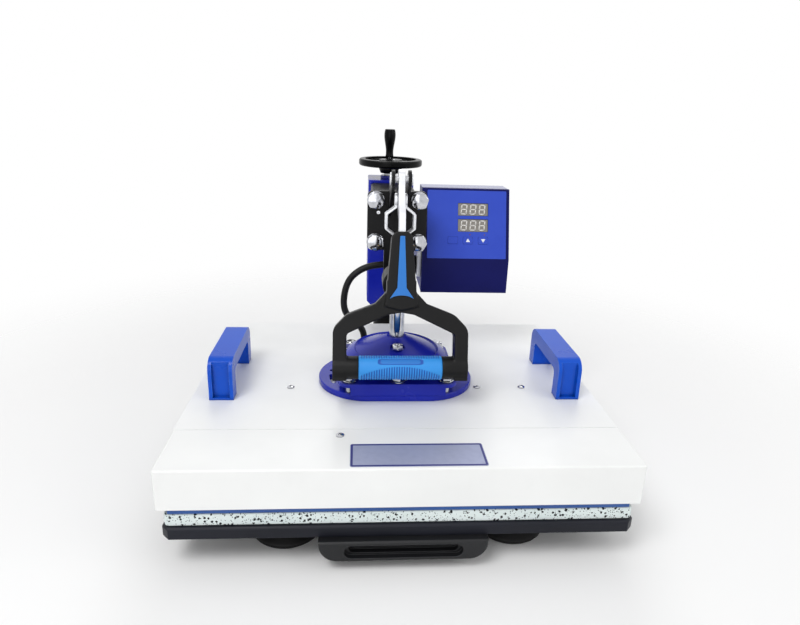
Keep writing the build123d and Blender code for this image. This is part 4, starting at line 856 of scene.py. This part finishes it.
def hex_head(across_flats: float, low: float, high: float, bore: float = 0.0) -> Shell:
    """Bolt head or nut about its own Z axis.

    Its side lies at half the width across the flats over the cosine of the angle from the nearest flat's
    middle, a little less at the corners. The top edge drops with that radius outside the crown's circle,
    and the bottom edge rises half as far.

    Args:
        across_flats: the width across the flats.
        low: where it starts.
        high: where it ends.
        bore: the radius of its hole, or 0 for a bolt head.

    Returns:
        The closed shell.
    """
    angle = np.linspace(0.0, TURN, 96, endpoint=False)
    flat = (angle + np.pi / 6) % (np.pi / 3) - np.pi / 6
    apothem = across_flats / 2
    side = (np.power(apothem / np.cos(flat), -60.0) + (1.142 * apothem) ** -60.0) ** (-1 / 60.0)
    crown = 0.94 * apothem
    drop = np.tan(np.radians(30)) * (side - crown)
    rows = [(crown, low), (side, low + 0.5 * drop), (side, high - drop), (crown, high)]
    if bore > 0.0:
        rows += [(1.08 * bore, high), (bore, high - 0.08 * bore), (bore, low)]
    round_z = np.stack([np.cos(angle), np.sin(angle), 0 * angle], axis=-1)
    rings = np.stack([
        (radius + 0 * angle)[:, None] * round_z + np.stack([0 * angle, 0 * angle, level + 0 * angle], axis=-1)
        for radius, level in rows
    ])
    return Shell.of_rings(rings, closed=bore > 0.0)


def washer_ring(outer: float, inner: float, height: float) -> Shell:
    """Flat washer about its own Z axis, standing on Z 0, with its outer edges taken off.

    Args:
        outer: its outside radius.
        inner: the radius of its hole.
        height: its thickness.

    Returns:
        The closed shell, a loop of six profile points turned round the axis.
    """
    ease = 0.25 * height
    profile = [
        (inner, 0.0), (outer - ease, 0.0), (outer, ease), (outer, height - ease), (outer - ease, height),
        (inner, height),
    ]
    return lathe(profile, 72, closed=True)


def threaded_end(radius: float, low: float, high: float, pitch: float) -> Shell:
    """Threaded stud about its own Z axis, with a chamfered tip.

    The radius falls by a third of the pitch in a triangle wave of the height over the pitch less the share
    of a turn, which winds the ridges into a thread, and shrinks over the last pitch to form the tip.

    Args:
        radius: over the ridges.
        low: where it starts.
        high: where it ends.
        pitch: the height of a turn.

    Returns:
        The closed shell.
    """
    angle = np.linspace(0.0, TURN, 48, endpoint=False)[None, :]
    level = np.linspace(low, high, max(int((high - low) / pitch * 8), 8))[:, None]
    wave = np.abs(((level - low) / pitch - angle / TURN) % 1.0 * 2.0 - 1.0)
    tip = np.clip((level - (high - 0.8 * pitch)) / (0.8 * pitch), 0.0, 1.0)
    size = (radius - wave * pitch * 0.33 * (1.0 - tip)) * (1.0 - 0.18 * tip)
    rings = np.stack([size * np.cos(angle), size * np.sin(angle), level + 0 * angle], axis=-1)
    return Shell.of_rings(rings)


@dataclass
class Fasteners:
    """Bright bolts, nuts, washers and studs of the toggle bracket, the saddle and the cover."""

    shop: Workshop
    rod_y: float = -44.0 * MM
    bracket_front: float = 1.0 * MM
    bracket_mid_z: float = 252.0 * MM
    bolt_half_x: float = 22.5 * MM
    bolt_half_z: float = 22.0 * MM
    bolt_flats: float = 16.0 * MM
    bolt_rise: float = 6.4 * MM
    bolt_radius: float = 5.0 * MM
    bolt_washer: tuple[float, float, float] = (9.0 * MM, 5.0 * MM, 1.4 * MM)
    set_screw: tuple[float, float] = (-19.5 * MM, 261.0 * MM)
    saddle_top: float = 112.0 * MM
    flange_top: float = 100.0 * MM
    stud_x: float = 47.0 * MM
    stud_y: float = 40.0 * MM
    stud_radius: float = 4.0 * MM
    stud_pitch: float = 1.25 * MM
    middle_stud_y: float = 41.0 * MM
    nut_flats: float = 13.0 * MM
    nut_bore: float = 3.9 * MM
    nut_rises: tuple[float, float] = (6.4 * MM, 4.2 * MM)
    nut_washer: tuple[float, float, float] = (8.0 * MM, 4.2 * MM, 1.6 * MM)
    dome_seat: float = 137.0 * MM
    dome_bolt_y: float = 22.0 * MM
    dome_bolt_flats: float = 10.0 * MM
    dome_bolt_rise: float = 4.5 * MM
    cover_top: float = 94.0 * MM
    screw_radius: float = 3.6 * MM
    screw_rise: float = 1.8 * MM
    recess_depth: float = 0.9 * MM
    screw_places: tuple[tuple[float, float], ...] = (
        (-106.0, -64.0), (83.0, -64.0), (129.0, -64.0), (-54.0, -155.0),
    )

    def build(self) -> None:
        """Build the three groups of fasteners."""
        self._bracket_bolts()
        self._saddle_fasteners()
        self._cover_screws()

    def _bracket_bolts(self) -> None:
        """Four hexagon bolts with washers on the bracket's face, and its small set screw."""
        parts = []
        seat = self.bolt_washer[2]
        for index, (side, up) in enumerate(((-1, -1), (-1, 1), (1, -1), (1, 1))):
            place = (side * self.bolt_half_x, self.bracket_front, self.bracket_mid_z + up * self.bolt_half_z)
            turn = spun(13.0 * index + 5.0) @ TOWARDS_OPERATOR
            pieces = (
                washer_ring(*self.bolt_washer), hex_head(self.bolt_flats, seat, seat + self.bolt_rise),
                rod(self.bolt_radius, -6.0 * MM, seat + 0.1 * MM),
            )
            parts += [shell.placed(turn, place) for shell in pieces]
        screw = lathe(np.array([(2.0, -1.0), (2.0, 0.9), (1.7, 1.2), (1.0, 1.2), (0.9, 0.3)]) * MM, 36)
        x, z = self.set_screw
        parts.append(screw.placed(TOWARDS_OPERATOR, (x, self.bracket_front, z)))
        piece = Shell.joined(parts).piece("bracket_bolts_fine")
        self.shop.add(piece, "head", "bright_chrome", replaces=("bracket_bolts",))

    def _saddle_fasteners(self) -> None:
        """Six studs with nuts and washers round the dome, and the dome's two bolts."""
        parts = []
        rise = self.saddle_top - self.flange_top
        seat = rise + self.nut_washer[2]
        corner, middle = self.nut_rises
        studs = [(x * self.stud_x, self.rod_y + y * self.stud_y, corner) for x in (-1, 1) for y in (-1, 1)]
        studs += [(0.0, self.rod_y + y * self.middle_stud_y, middle) for y in (-1, 1)]
        for index, (x, y, nut) in enumerate(studs):
            washer = washer_ring(*self.nut_washer)
            washer.points[:, 2] += rise
            pieces = (
                rod(self.stud_radius, 0.0, rise), washer,
                threaded_end(self.stud_radius, rise - 0.5 * MM, seat + nut, self.stud_pitch),
                hex_head(self.nut_flats, seat, seat + nut - 0.9 * MM, self.nut_bore),
            )
            parts += [shell.placed(spun(17.0 * index), (x, y, self.flange_top)) for shell in pieces]
        for side in (-1, 1):
            place = (0.0, self.rod_y + side * self.dome_bolt_y, self.dome_seat)
            parts.append(hex_head(self.dome_bolt_flats, 0.0, self.dome_bolt_rise).placed(PRESS_AXES, place))
            parts.append(rod(3.0 * MM, -11.0 * MM, 0.4 * MM, 36).placed(PRESS_AXES, place))
        piece = Shell.joined(parts).piece("saddle_fasteners_fine")
        self.shop.add(piece, "platen", "bright_chrome", replaces=("saddle_fasteners",))

    def _cover_screws(self) -> None:
        """Four round-headed screws with a cross recess in the cover.

        The head is a dome whose height falls with the square of the radius, cut by a cross of two crossed
        bands with soft edges.
        """
        angle = np.linspace(0.0, TURN, 72, endpoint=False)[None, :]
        radius = np.linspace(0.12 * MM, self.screw_radius, 26)[:, None]
        x, y = radius * np.cos(angle), radius * np.sin(angle)
        dome = self.screw_rise * (1.0 - 0.55 * (radius / self.screw_radius) ** 2) + 0 * angle
        arm = np.minimum(np.abs(x), np.abs(y))
        reach = np.maximum(np.abs(x), np.abs(y))
        cross = (1.0 - smooth_step(0.28 * MM, 0.5 * MM, arm)) * (1.0 - smooth_step(1.7 * MM, 2.1 * MM, reach))
        cap = np.stack([x, y, dome - self.recess_depth * cross], axis=-1)
        foot = np.stack([x[-1:], y[-1:], 0 * y[-1:]], axis=-1)
        head = Shell.of_rings(np.concatenate([cap, foot]))
        shank = rod(2.0 * MM, -4.0 * MM, 0.1 * MM, 32)
        parts = []
        for x_place, y_place in self.screw_places:
            place = (x_place * MM, y_place * MM, self.cover_top)
            parts += [shell.placed(spun(x_place), place) for shell in (head, shank)]
        piece = Shell.joined(parts).piece("cover_screws_fine")
        self.shop.add(piece, "platen", "bright_chrome", replaces=("cover_screws",))


@dataclass
class ToggleHandle:
    """The toggle handle: a forked black frame with a pale inlay and a ribbed grip.

    Angles are in degrees, and those of the grip start at its front and rise over its top.
    """

    shop: Workshop
    origin: tuple[float, float, float] = (0.0, -71.0 * MM, 256.0 * MM)
    tilt: float = 15.0
    grip_drop: float = 126.0 * MM
    grip_radius: float = 11.2 * MM
    core_radius: float = 9.0 * MM
    grip_half: float = 38.5 * MM
    rib_pitch: float = 2.3 * MM
    rib_depth: float = 0.6 * MM
    rim_drop: float = 0.7 * MM
    arch_top: float = 16.0
    arch_fall: float = 42.0
    upper_ribs: float = 58.0
    field_turn: float = 40.0
    field_half_turn: float = 15.0
    field_half_length: float = 20.0 * MM
    voxel: float = 0.8 * MM

    def build(self) -> None:
        """Dress the frame and the inlay, and build the grip."""
        self._yoke()
        self._grip()
        self.shop.solid("handle_inlay", "sky_plastic", bevel=0.5)

    def _yoke(self) -> None:
        """Give the frame's solid the soft edges of a casting: small cubes melted into one skin."""
        self.shop.solid("handle_yoke", "black_plastic", bevel=0.0)
        piece = self.shop.frame["nodes"]["handle_yoke"]
        piece.modifiers.clear()
        melt = piece.modifiers.new("melt", "REMESH")
        melt.mode = "VOXEL"
        melt.voxel_size = self.voxel
        melt.use_smooth_shade = True
        soften = piece.modifiers.new("soften", "SMOOTH")
        soften.factor = 0.5
        soften.iterations = 5

    def _grip(self) -> None:
        """Ribbed soft grip: a tube whose outside is cut by fine grooves, with a framed field above them.

        The radius loses a rounded groove at every rib pitch along the grip, everywhere but on a front field
        whose lower edge is an arch. There a rounded rectangle is sunk a little, with a deeper line round it.
        The share that is lost is kept on the mesh, so that the finish can paint shade into the hollows.
        """
        along = np.linspace(-1.0, 1.0, 560)[:, None] * self.grip_half
        angle = np.linspace(0.0, TURN, 160, endpoint=False)[None, :]
        turn = (angle + np.pi) % TURN - np.pi
        arch = np.radians(self.arch_top - self.arch_fall * (along / (0.92 * self.grip_half)) ** 2)
        upper = smooth_step(0.0, 0.06, turn - np.radians(self.upper_ribs))
        zone = smooth_step(0.0, 0.10, arch - turn) + upper
        zone = zone * (1.0 - smooth_step(0.92, 0.95, np.abs(along) / self.grip_half))
        groove = smooth_step(0.3, 0.9, 0.5 - 0.5 * np.cos(TURN * along / self.rib_pitch))
        inset_x = np.abs(along) / self.field_half_length
        inset_a = np.abs(turn - np.radians(self.field_turn)) / np.radians(self.field_half_turn)
        field = (inset_x ** 10 + inset_a ** 5) ** (1 / 8)
        inset = (0.5 + 0.5 * smooth_step(0.86, 0.94, field)) * (1.0 - smooth_step(1.02, 1.10, field))
        rim = smooth_step(0.975, 1.0, np.abs(along) / self.grip_half)
        hollow_shade = np.clip(groove * zone + inset, 0.0, 1.0)
        radius = self.grip_radius - self.rib_depth * hollow_shade - self.rim_drop * rim
        y, z = radius * np.cos(angle), radius * np.sin(angle)
        outside = np.stack([along + 0 * angle, y, z], axis=-1)
        core = self.core_radius + 0 * angle
        inner = np.stack([
            np.stack([x + 0 * angle, core * np.cos(angle), core * np.sin(angle)], axis=-1)[0]
            for x in (self.grip_half, -self.grip_half)
        ])
        shell = Shell.of_rings(np.concatenate([outside, inner]), closed=True)
        shade = np.concatenate([(hollow_shade + 0 * radius).ravel(), np.zeros(2 * angle.size)])
        tilt = np.radians(self.tilt)
        front = np.array([0.0, -np.cos(tilt), np.sin(tilt)])
        up = np.array([0.0, np.sin(tilt), np.cos(tilt)])
        middle = np.array(self.origin) - self.grip_drop * up
        piece = shell.placed(np.array([[1.0, 0.0, 0.0], front, up]), middle).piece("handle_grip_ribbed", 80.0)
        # The hollow share is stored for painted shade in the grooves and the sunk field.
        layer = piece.data.attributes.new(HOLLOW_SHADE, "FLOAT", "POINT")
        layer.data.foreach_set("value", shade.astype(np.float32))
        self.shop.add(piece, "lever", "sky_rubber", replaces=("handle_grip",))


@dataclass
class LowerTray:
    """Sliding tray with its pull, and the sponge pad on it."""

    shop: Workshop
    centre_y: float = -44.0 * MM
    pad_bottom: float = 40.5 * MM
    pad_top: float = 51.5 * MM
    pad_width: float = 387.0 * MM
    pad_depth: float = 316.0 * MM
    corner: float = 4.0 * MM
    edge_radius: float = 1.2 * MM
    swell: float = 0.3 * MM

    def build(self) -> None:
        """Build the pad and dress the tray, its pull and its runners."""
        self._pad()
        self.shop.solid("lower_tray", "slate_coat", bevel=0.6)
        self.shop.solid("drawer_pull", "pull_black", bevel=0.6)
        self.shop.solid("tray_runners", "zinc_steel", bevel=0.3)

    def _pad(self) -> None:
        """Sponge slab with soft edges and slightly uneven faces.

        Rings run from the middle of the underside over the rounded edge to the middle of the top. A ring is
        the slab's outline drawn in by its inset. The side swells by a sine of the height, and the top rises
        and falls by a product of sines well under a millimetre.
        """
        outline = rounded_box_outline(self.pad_width, self.pad_depth, self.corner, 10)
        spaced = np.linspace(0.0, 1.0, 9)[:-1]
        loop = np.concatenate([outline, outline[:1]])
        runs = loop[:-1, None, :] * (1 - spaced[None, :, None]) + loop[1:, None, :] * spaced[None, :, None]
        ring = runs.reshape(-1, 2)
        thickness = self.pad_top - self.pad_bottom
        turn = np.linspace(-np.pi / 2, 0.0, 6)
        edge = self.edge_radius
        low = np.stack([edge * (1 - np.cos(turn)), edge * (1 + np.sin(turn))], axis=-1)
        high = np.stack([low[::-1, 0], thickness - low[::-1, 1]], axis=-1)
        share = np.linspace(0.02, 0.98, 9)
        side = np.stack([
            self.swell * (1.0 - np.sin(np.pi * share)), edge + share * (thickness - 2 * edge)
        ], axis=-1)
        low[:, 0] += self.swell
        high[:, 0] += self.swell
        inward = np.linspace(3.0 * MM, 0.4995 * self.pad_depth, 60)
        bottom = np.stack([inward[::-1], 0 * inward], axis=-1)
        top = np.stack([inward, thickness + 0 * inward], axis=-1)
        path = np.concatenate([bottom, low, side, high, top])
        scale_x = 1.0 - path[:, 0] / (self.pad_width / 2)
        scale_y = 1.0 - path[:, 0] / (self.pad_depth / 2)
        x = ring[None, :, 0] * scale_x[:, None]
        y = ring[None, :, 1] * scale_y[:, None]
        is_top = smooth_step(0.9, 1.0, path[:, 1] / thickness)[:, None]
        wave = 0.06 * MM * np.sin(x * 310.0) * np.sin(y * 270.0) - 0.06 * MM
        z = self.pad_bottom + path[:, 1][:, None] + is_top * wave
        shell = Shell.of_rings(np.stack([x, y + self.centre_y, z], axis=-1))
        piece = self.shop.add(
            shell.piece("sponge_pad", 50.0), "tray", "white_sponge", replaces=("silicone_pad",)
        )


@dataclass
class HeaterLead:
    """The limp lead between the control box and the heated head."""

    shop: Workshop
    radius: float = 3.75 * MM
    route: tuple[tuple[float, float, float], ...] = (
        (0.009, 0.038, 0.196), (-0.014, 0.038, 0.196), (-0.037, 0.036, 0.191), (-0.054, 0.0345, 0.174),
        (-0.057, 0.0335, 0.1375), (-0.032, 0.034, 0.121), (-0.032, 0.034, 0.106),
    )

    def build(self) -> None:
        """Draw the lead's spline and skin it."""
        points = self._line()
        along = np.gradient(points, axis=0)
        along /= np.linalg.norm(along, axis=1, keepdims=True)
        side = np.cross(along, (0.0, 1.0, 0.0))
        side /= np.linalg.norm(side, axis=1, keepdims=True)
        other = np.cross(side, along)
        angle = np.linspace(0.0, TURN, 40, endpoint=False)[None, :, None]
        rings = points[:, None, :] + self.radius * (
            np.cos(angle) * side[:, None, :] + np.sin(angle) * other[:, None, :]
        )
        piece = Shell.of_rings(rings).piece("heater_lead", 60.0)
        self.shop.palette.dress(piece, "black_rubber")
        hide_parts("heater_cable")
        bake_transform(piece)

    def _line(self) -> np.ndarray:
        """Read points along the lead's own spline, whose control points are the route.

        Returns:
            Rows of X, Y and Z, without doubles.
        """
        curve = bpy.data.curves.new("lead_line", "CURVE")
        curve.dimensions = "3D"
        curve.resolution_u = 20
        spline = curve.splines.new("NURBS")
        spline.points.add(len(self.route) - 1)
        spline.points.foreach_set("co", [value for point in self.route for value in (*point, 1.0)])
        spline.order_u = 3
        spline.use_endpoint_u = True
        drawn = bpy.data.objects.new("lead_line", curve)
        bpy.context.scene.collection.objects.link(drawn)
        bpy.context.view_layer.update()
        mesh = bpy.data.meshes.new_from_object(drawn.evaluated_get(bpy.context.evaluated_depsgraph_get()))
        points = np.empty(len(mesh.vertices) * 3)
        mesh.vertices.foreach_get("co", points)
        bpy.data.objects.remove(drawn)
        bpy.data.curves.remove(curve)
        bpy.data.meshes.remove(mesh)
        points = points.reshape(-1, 3)
        keep = np.concatenate([[True], np.linalg.norm(np.diff(points, axis=0), axis=1) > 1e-6])
        return points[keep]


@dataclass
class ControlBox:
    """Control box: panel film, two unlit displays, three keys, rocker switch and mains inlet."""

    shop: Workshop
    origin: tuple[float, float, float] = (77.5 * MM, 16.0 * MM, 208.0 * MM)
    lean: tuple[float, float] = (0.308494, 0.951226)
    display_x: float = 7.7 * MM
    display_up: tuple[float, float] = (55.0 * MM, 37.5 * MM)
    display_size: tuple[float, float] = (33.0 * MM, 13.5 * MM)
    key_up: float = 21.0 * MM
    keys: tuple[tuple[str, float], ...] = (("set", -14.5 * MM), ("up", 2.2 * MM), ("down", 19.0 * MM))
    key_size: tuple[float, float] = (11.0 * MM, 8.0 * MM)

    def axes(self) -> np.ndarray:
        """Rows: sideways, up the panel and out of the panel, as press directions."""
        back, up = self.lean
        return np.array([[1.0, 0.0, 0.0], [0.0, back, up], [0.0, -up, back]])

    def on_panel(self, x: float, up: float, out: float = 0.0) -> np.ndarray:
        """Press point of a place on the panel."""
        return np.array(self.origin) + np.array([x, up, out]) @ self.axes()

    def build(self) -> None:
        """Build the film and its prints, and dress the box's solids."""
        self._film()
        self._digits()
        self._arrows()
        self._lamps()
        self.shop.solid("box_front", "panel_blue", bevel=0.8)
        self.shop.solid("box_shell", "shell_grey", bevel=1.6)
        self.shop.solid("displays", "display_face", bevel=0.2)
        self.shop.solid("circuit_board", "green_board", bevel=0.2)
        for name, _ in self.keys:
            self.shop.solid(f"key_{name}", "film_blue", bevel=0.2)
        self.shop.solid("power_rocker", "gloss_black", bevel=0.4)
        self.shop.solid("rocker_frame", "gloss_black", bevel=0.3)
        self.shop.solid("power_inlet", "gloss_black", bevel=0.4)
        self.shop.solid("box_bracket", "zinc_steel", bevel=0.5)

    def _film(self) -> None:
        """Printed film on the panel: a thin plate with holes for the displays and the keys."""
        outline = rounded_box_outline(87.2 * MM, 74.6 * MM, 1.0 * MM) + np.array([0.9 * MM, 38.4 * MM])
        holes = [
            rounded_box_outline(self.display_size[0] + 0.5 * MM, self.display_size[1] + 0.5 * MM, 0.6 * MM, 4)
            + np.array([self.display_x, up])
            for up in self.display_up
        ]
        holes += [
            rounded_box_outline(self.key_size[0] + 0.24 * MM, self.key_size[1] + 0.24 * MM, 1.6 * MM, 6)
            + np.array([x, self.key_up])
            for _, x in self.keys
        ]
        film = flat_plate("panel_film", outline, holes, 0.25 * MM)
        move_mesh(film, self.axes(), self.on_panel(0.0, 0.0))
        self.shop.add(film, "head", "film_blue", slot="panel_blue")

    def _segment(self, length: float, width: float) -> np.ndarray:
        """Outline one bar of a digit along x: a strip whose ends are points.

        Args:
            length: from point to point.
            width: across the strip.

        Returns:
            Its six corners as rows of x and y.
        """
        half, side = length / 2, width / 2
        return np.array([
            [-half, 0.0], [-half + side, -side], [half - side, -side], [half, 0.0], [half - side, side],
            [-half + side, side],
        ])

    def _digits(self) -> None:
        """Unlit digits, seven bars each, leaning slightly, as thin bars on both display faces."""
        bar = self._segment(5.2 * MM, 1.3 * MM)
        upright = bar[:, ::-1]
        places = [
            (bar, 0.0, 5.0), (bar, 0.0, 0.0), (bar, 0.0, -5.0), (upright, -2.8, 2.5), (upright, 2.8, 2.5),
            (upright, -2.8, -2.5), (upright, 2.8, -2.5),
        ]
        parts = []
        count = 6
        side = np.arange(count)
        quads = np.stack([side, (side + 1) % count, (side + 1) % count + count, side + count], axis=-1)
        fan = np.array([[0, k, k + 1] for k in range(1, count - 1)])
        ends = np.vstack([fan[:, ::-1], fan + count])
        for up in self.display_up:
            for column in (-10.0, 0.0, 10.0):
                for shape, x, y in places:
                    flat = shape + np.array([x, y]) * MM
                    flat[:, 0] += 0.1 * flat[:, 1] + column * MM + self.display_x
                    flat[:, 1] += up
                    low = np.column_stack([flat, np.full(count, -0.42 * MM)])
                    high = np.column_stack([flat, np.full(count, -0.3 * MM)])
                    parts.append(Shell(np.vstack([low, high]), quads, ends).placed(self.axes(), self.origin))
        piece = Shell.joined(parts).piece("display_digits", None)
        self.shop.add(piece, "head", "pale_segment", slot="dark_glass")

    def _arrows(self) -> None:
        """White arrow prints on the up and down keys."""
        arrow = np.array([[-2.4, -1.7], [2.4, -1.7], [0.0, 2.2]]) * MM
        for name, x in self.keys[1:]:
            shape = arrow if name == "up" else -arrow
            plate = flat_plate(f"arrow_{name}", shape, (), 0.08 * MM)
            move_mesh(plate, self.axes(), self.on_panel(x, self.key_up, 0.58 * MM))
            self.shop.add(plate, f"{name}_button", "print_white", slot="panel_blue")

    def _lamps(self) -> None:
        """Two small status lamps above the keys: domes of half an ellipse turned about its middle."""
        angle = np.linspace(0.0, np.pi / 2, 7)
        profile = np.stack([0.75 * MM * np.cos(angle) + 1e-6, 0.35 * MM * np.sin(angle)], axis=-1)
        dome = lathe(np.vstack([[0.75 * MM, -0.2 * MM], profile]), 32)
        parts = [dome.placed(self.axes(), self.on_panel(x * MM, 27.4 * MM, 0.2 * MM)) for x in (4.5, 20.6)]
        self.shop.add(Shell.joined(parts).piece("status_lamps"), "head", "lamp_lens", slot="panel_blue")


@dataclass
class CoverHead:
    """The white cover with its plain label plate, the flange, saddle and dome, and the side handles."""

    shop: Workshop
    label_place: tuple[float, float, float] = (11.0 * MM, -185.5 * MM, 94.0 * MM)
    label_size: tuple[float, float] = (112.0 * MM, 33.0 * MM)
    label_thickness: float = 0.3 * MM
    line_margin: float = 0.5 * MM
    line_width: float = 1.8 * MM

    def build(self) -> None:
        """Build the label plate and dress the head's solids."""
        self._label()
        for name in ("cover_top", "cover_front"):
            self.shop.solid(name, "white_cover", bevel=1.0)
        self.shop.solid("platen_rim", "strip_blue", bevel=0.5)
        self.shop.solid("heat_platen", "cast_plate", bevel=0.4)
        self.shop.solid("heating_element", "zinc_steel", bevel=0.3)
        self.shop.solid("insulation", "wool_blanket", bevel=0.8)
        self.shop.solid("flange_plate", "blue_coat", bevel=0.6)
        self.shop.solid("saddle_plate", "blue_coat", bevel=0.8)
        self.shop.solid("pressure_dome", "blue_coat", bevel=0.8, angle=18.0)
        self.shop.solid("plunger_rod", "bright_chrome", bevel=0.4)
        for side in ("left", "right"):
            self.shop.solid(f"side_handle_{side}", "royal_plastic", bevel=1.0, angle=40.0)
        self.shop.solid("lower_gland", "black_plastic", bevel=0.4)

    def _label(self) -> None:
        """A blank framed plate on the cover's front part."""
        x, y, top = self.label_place
        width, height = self.label_size
        edge = rounded_box_outline(width, height, 2.0 * MM)
        plate = flat_plate("label_plate", edge, (), self.label_thickness)
        move_mesh(plate, PRESS_AXES, self.label_place)
        self.shop.add(plate, "platen", "plate_silver", slot="white_cover")
        outer, inner = 2 * self.line_margin, 2 * (self.line_margin + self.line_width)
        frame = flat_plate(
            "label_frame", rounded_box_outline(width - outer, height - outer, 1.6 * MM),
            [rounded_box_outline(width - inner, height - inner, 0.6 * MM)], 0.1 * MM,
        )
        move_mesh(frame, PRESS_AXES, (x, y, top + self.label_thickness - 0.02 * MM))
        self.shop.add(frame, "platen", "plate_frame", slot="white_cover")


@dataclass
class Stand:
    """Base frame, feet, post and swinging column with its handwheel, arm and toggle."""

    shop: Workshop

    def build(self) -> None:
        """Dress the solids of the stand, the column, the arm and the toggle."""
        rows = (
            ("base_frame", "black_coat", 0.8), ("rubber_feet", "black_rubber", 0.6),
            ("foot_screws", "zinc_steel", 0.3), ("post", "black_coat", 0.5),
            ("post_bolts", "zinc_steel", 0.4),
            ("fixed_rails", "zinc_steel", 0.3), ("column_tube", "blue_coat", 0.8),
            ("column_cap", "blue_coat", 0.8), ("post_bushes", "bush_brass", 0.3),
            ("thrust_plate", "bush_brass", 0.3), ("handwheel", "wheel_black", 0.6),
            ("pressure_screw", "bright_chrome", 0.3), ("crank_pin", "bright_chrome", 0.3),
            ("crank_grip", "wheel_black", 0.5), ("arm_beam", "black_coat", 0.6),
            ("slide_block", "zinc_steel", 0.4), ("toggle_bracket", "black_coat", 0.7),
            ("lever_pin", "zinc_steel", 0.4), ("rod_guide", "black_coat", 0.6),
            ("guide_bush", "bush_brass", 0.4),
            ("upper_gland", "black_plastic", 0.4), ("lever_plate", "zinc_steel", 0.5),
            ("link_left", "zinc_steel", 0.4), ("link_right", "zinc_steel", 0.4),
            ("link_pins", "zinc_steel", 0.3),
        )
        for name, finish, bevel in rows:
            self.shop.solid(name, finish, bevel)


@dataclass
class Studio:
    """Pale floor, soft light and the camera at the photograph's viewing angle."""

    eye: tuple[float, float, float] = (-0.0405, -0.6083, 0.3706)
    yaw: float = -4.32
    pitch: float = 17.77
    roll: float = 1.94
    lens: float = 26.74
    shift_y: float = -0.0256
    floor_half: float = 1.6
    floor_fade: tuple[float, float] = (0.3, 0.85)
    lamps: tuple[tuple[str, tuple[float, float, float], float, float], ...] = (
        ("key_light", (-0.7, -1.0, 1.7), 0.8, 17.0),
        ("front_light", (-0.5, -1.9, 0.4), 1.2, 5.5),
        ("fill_light", (1.5, -0.8, 1.0), 1.2, 7.0),
        ("back_light", (0.2, 1.4, 1.5), 1.2, 8.0),
    )

    def build(self) -> None:
        """Set the view transform, the world, the floor, the lamps and the camera."""
        bpy.context.scene.view_settings.view_transform = "Standard"
        self._world()
        self._floor()
        for name, place, size, power in self.lamps:
            self._lamp(name, place, size, power)
        self._camera()

    @staticmethod
    def _world() -> None:
        """White where it is seen, mirrored or seen through, and dimmer as a light."""
        world = bpy.data.worlds.new("studio")
        world.use_nodes = True
        net = Wiring(world.node_tree)
        background = net.tree.nodes["Background"].inputs
        background["Color"].default_value = (1.0, 1.0, 1.0, 1.0)
        path = net.node("LightPath").outputs
        seen = net.number("MAXIMUM", path["Is Camera Ray"], path["Is Glossy Ray"])
        either = net.number("MAXIMUM", seen, path["Is Transmission Ray"])
        net.tree.links.new(net.span(either, 0.0, 1.0, 0.5, 1.0), background["Strength"])
        bpy.context.scene.world = world

    def _floor(self) -> None:
        """A pale floor that keeps the press's shadow and thins out into the white further off."""
        half = self.floor_half
        points = np.array([[-half, -half, 0.0], [half, -half, 0.0], [half, half, 0.0], [-half, half, 0.0]])
        floor = Shell(points, np.array([[0, 1, 2, 3]])).piece("floor", None)
        material = bpy.data.materials.new("pale_floor")
        material.use_nodes = True
        net = Wiring(material.node_tree)
        shader = net.tree.nodes["Principled BSDF"].inputs
        shader["Roughness"].default_value = 0.9
        shader["Specular IOR Level"].default_value = 0.1
        place = net.node("TexCoord").outputs["Object"]
        away = net.node("VectorMath", {0: place}, operation="LENGTH").outputs["Value"]
        fade = net.span(away, *self.floor_fade, 1.0, 0.0, interpolation_type="SMOOTHSTEP")
        darker, paler = (0.90, 0.90, 0.90, 1.0), (0.93, 0.93, 0.93, 1.0)
        net.tree.links.new(fade, shader["Alpha"])
        net.tree.links.new(net.tones(net.noise(place, 3.0), darker, paler, 0.0, 1.0), shader["Base Color"])
        floor.data.materials.append(material)

    @staticmethod
    def _lamp(name: str, place: tuple[float, float, float], size: float, power: float) -> None:
        """Hang a square soft lamp that points at the press.

        Args:
            name: the lamp's name.
            place: where it hangs.
            size: the length of its side.
            power: its power in watts.
        """
        light = bpy.data.lights.new(name, "AREA")
        light.size = size
        light.energy = power
        lamp = bpy.data.objects.new(name, light)
        lamp.location = place
        aim = Vector((0.0, 0.0, 0.12)) - Vector(place)
        lamp.rotation_euler = aim.to_track_quat("-Z", "Y").to_euler()
        bpy.context.scene.collection.objects.link(lamp)

    def _camera(self) -> None:
        """Place the camera by its heading, dip and lean, with the photograph's angle of view."""
        yaw, pitch, roll = np.radians([self.yaw, self.pitch, self.roll])
        ahead = np.array([-np.sin(yaw) * np.cos(pitch), np.cos(yaw) * np.cos(pitch), -np.sin(pitch)])
        right = np.array([np.cos(yaw), np.sin(yaw), 0.0])
        up = np.cross(right, ahead)
        leaned_right = np.cos(roll) * right + np.sin(roll) * up
        leaned_up = -np.sin(roll) * right + np.cos(roll) * up
        turn = Matrix(np.column_stack([leaned_right, leaned_up, -ahead]).tolist()).to_4x4()
        data = bpy.data.cameras.new("camera")
        data.lens = self.lens
        data.sensor_width = 36.0
        data.shift_y = self.shift_y
        data.clip_start = 0.01
        camera = bpy.data.objects.new("camera", data)
        camera.matrix_world = Matrix.Translation(Vector(self.eye)) @ turn
        bpy.context.scene.collection.objects.link(camera)
        bpy.context.scene.camera = camera


def main() -> None:
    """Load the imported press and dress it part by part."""
    logging.basicConfig(level=logging.INFO, format="%(name)s: %(message)s")
    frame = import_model()
    Studio().build()
    shop = Workshop(frame, Palette())
    HeaterLead(shop).build()
    Stand(shop).build()
    LowerTray(shop).build()
    CoverHead(shop).build()
    Fasteners(shop).build()
    ToggleHandle(shop).build()
    ControlBox(shop).build()


if __name__ == "__main__":
    main()
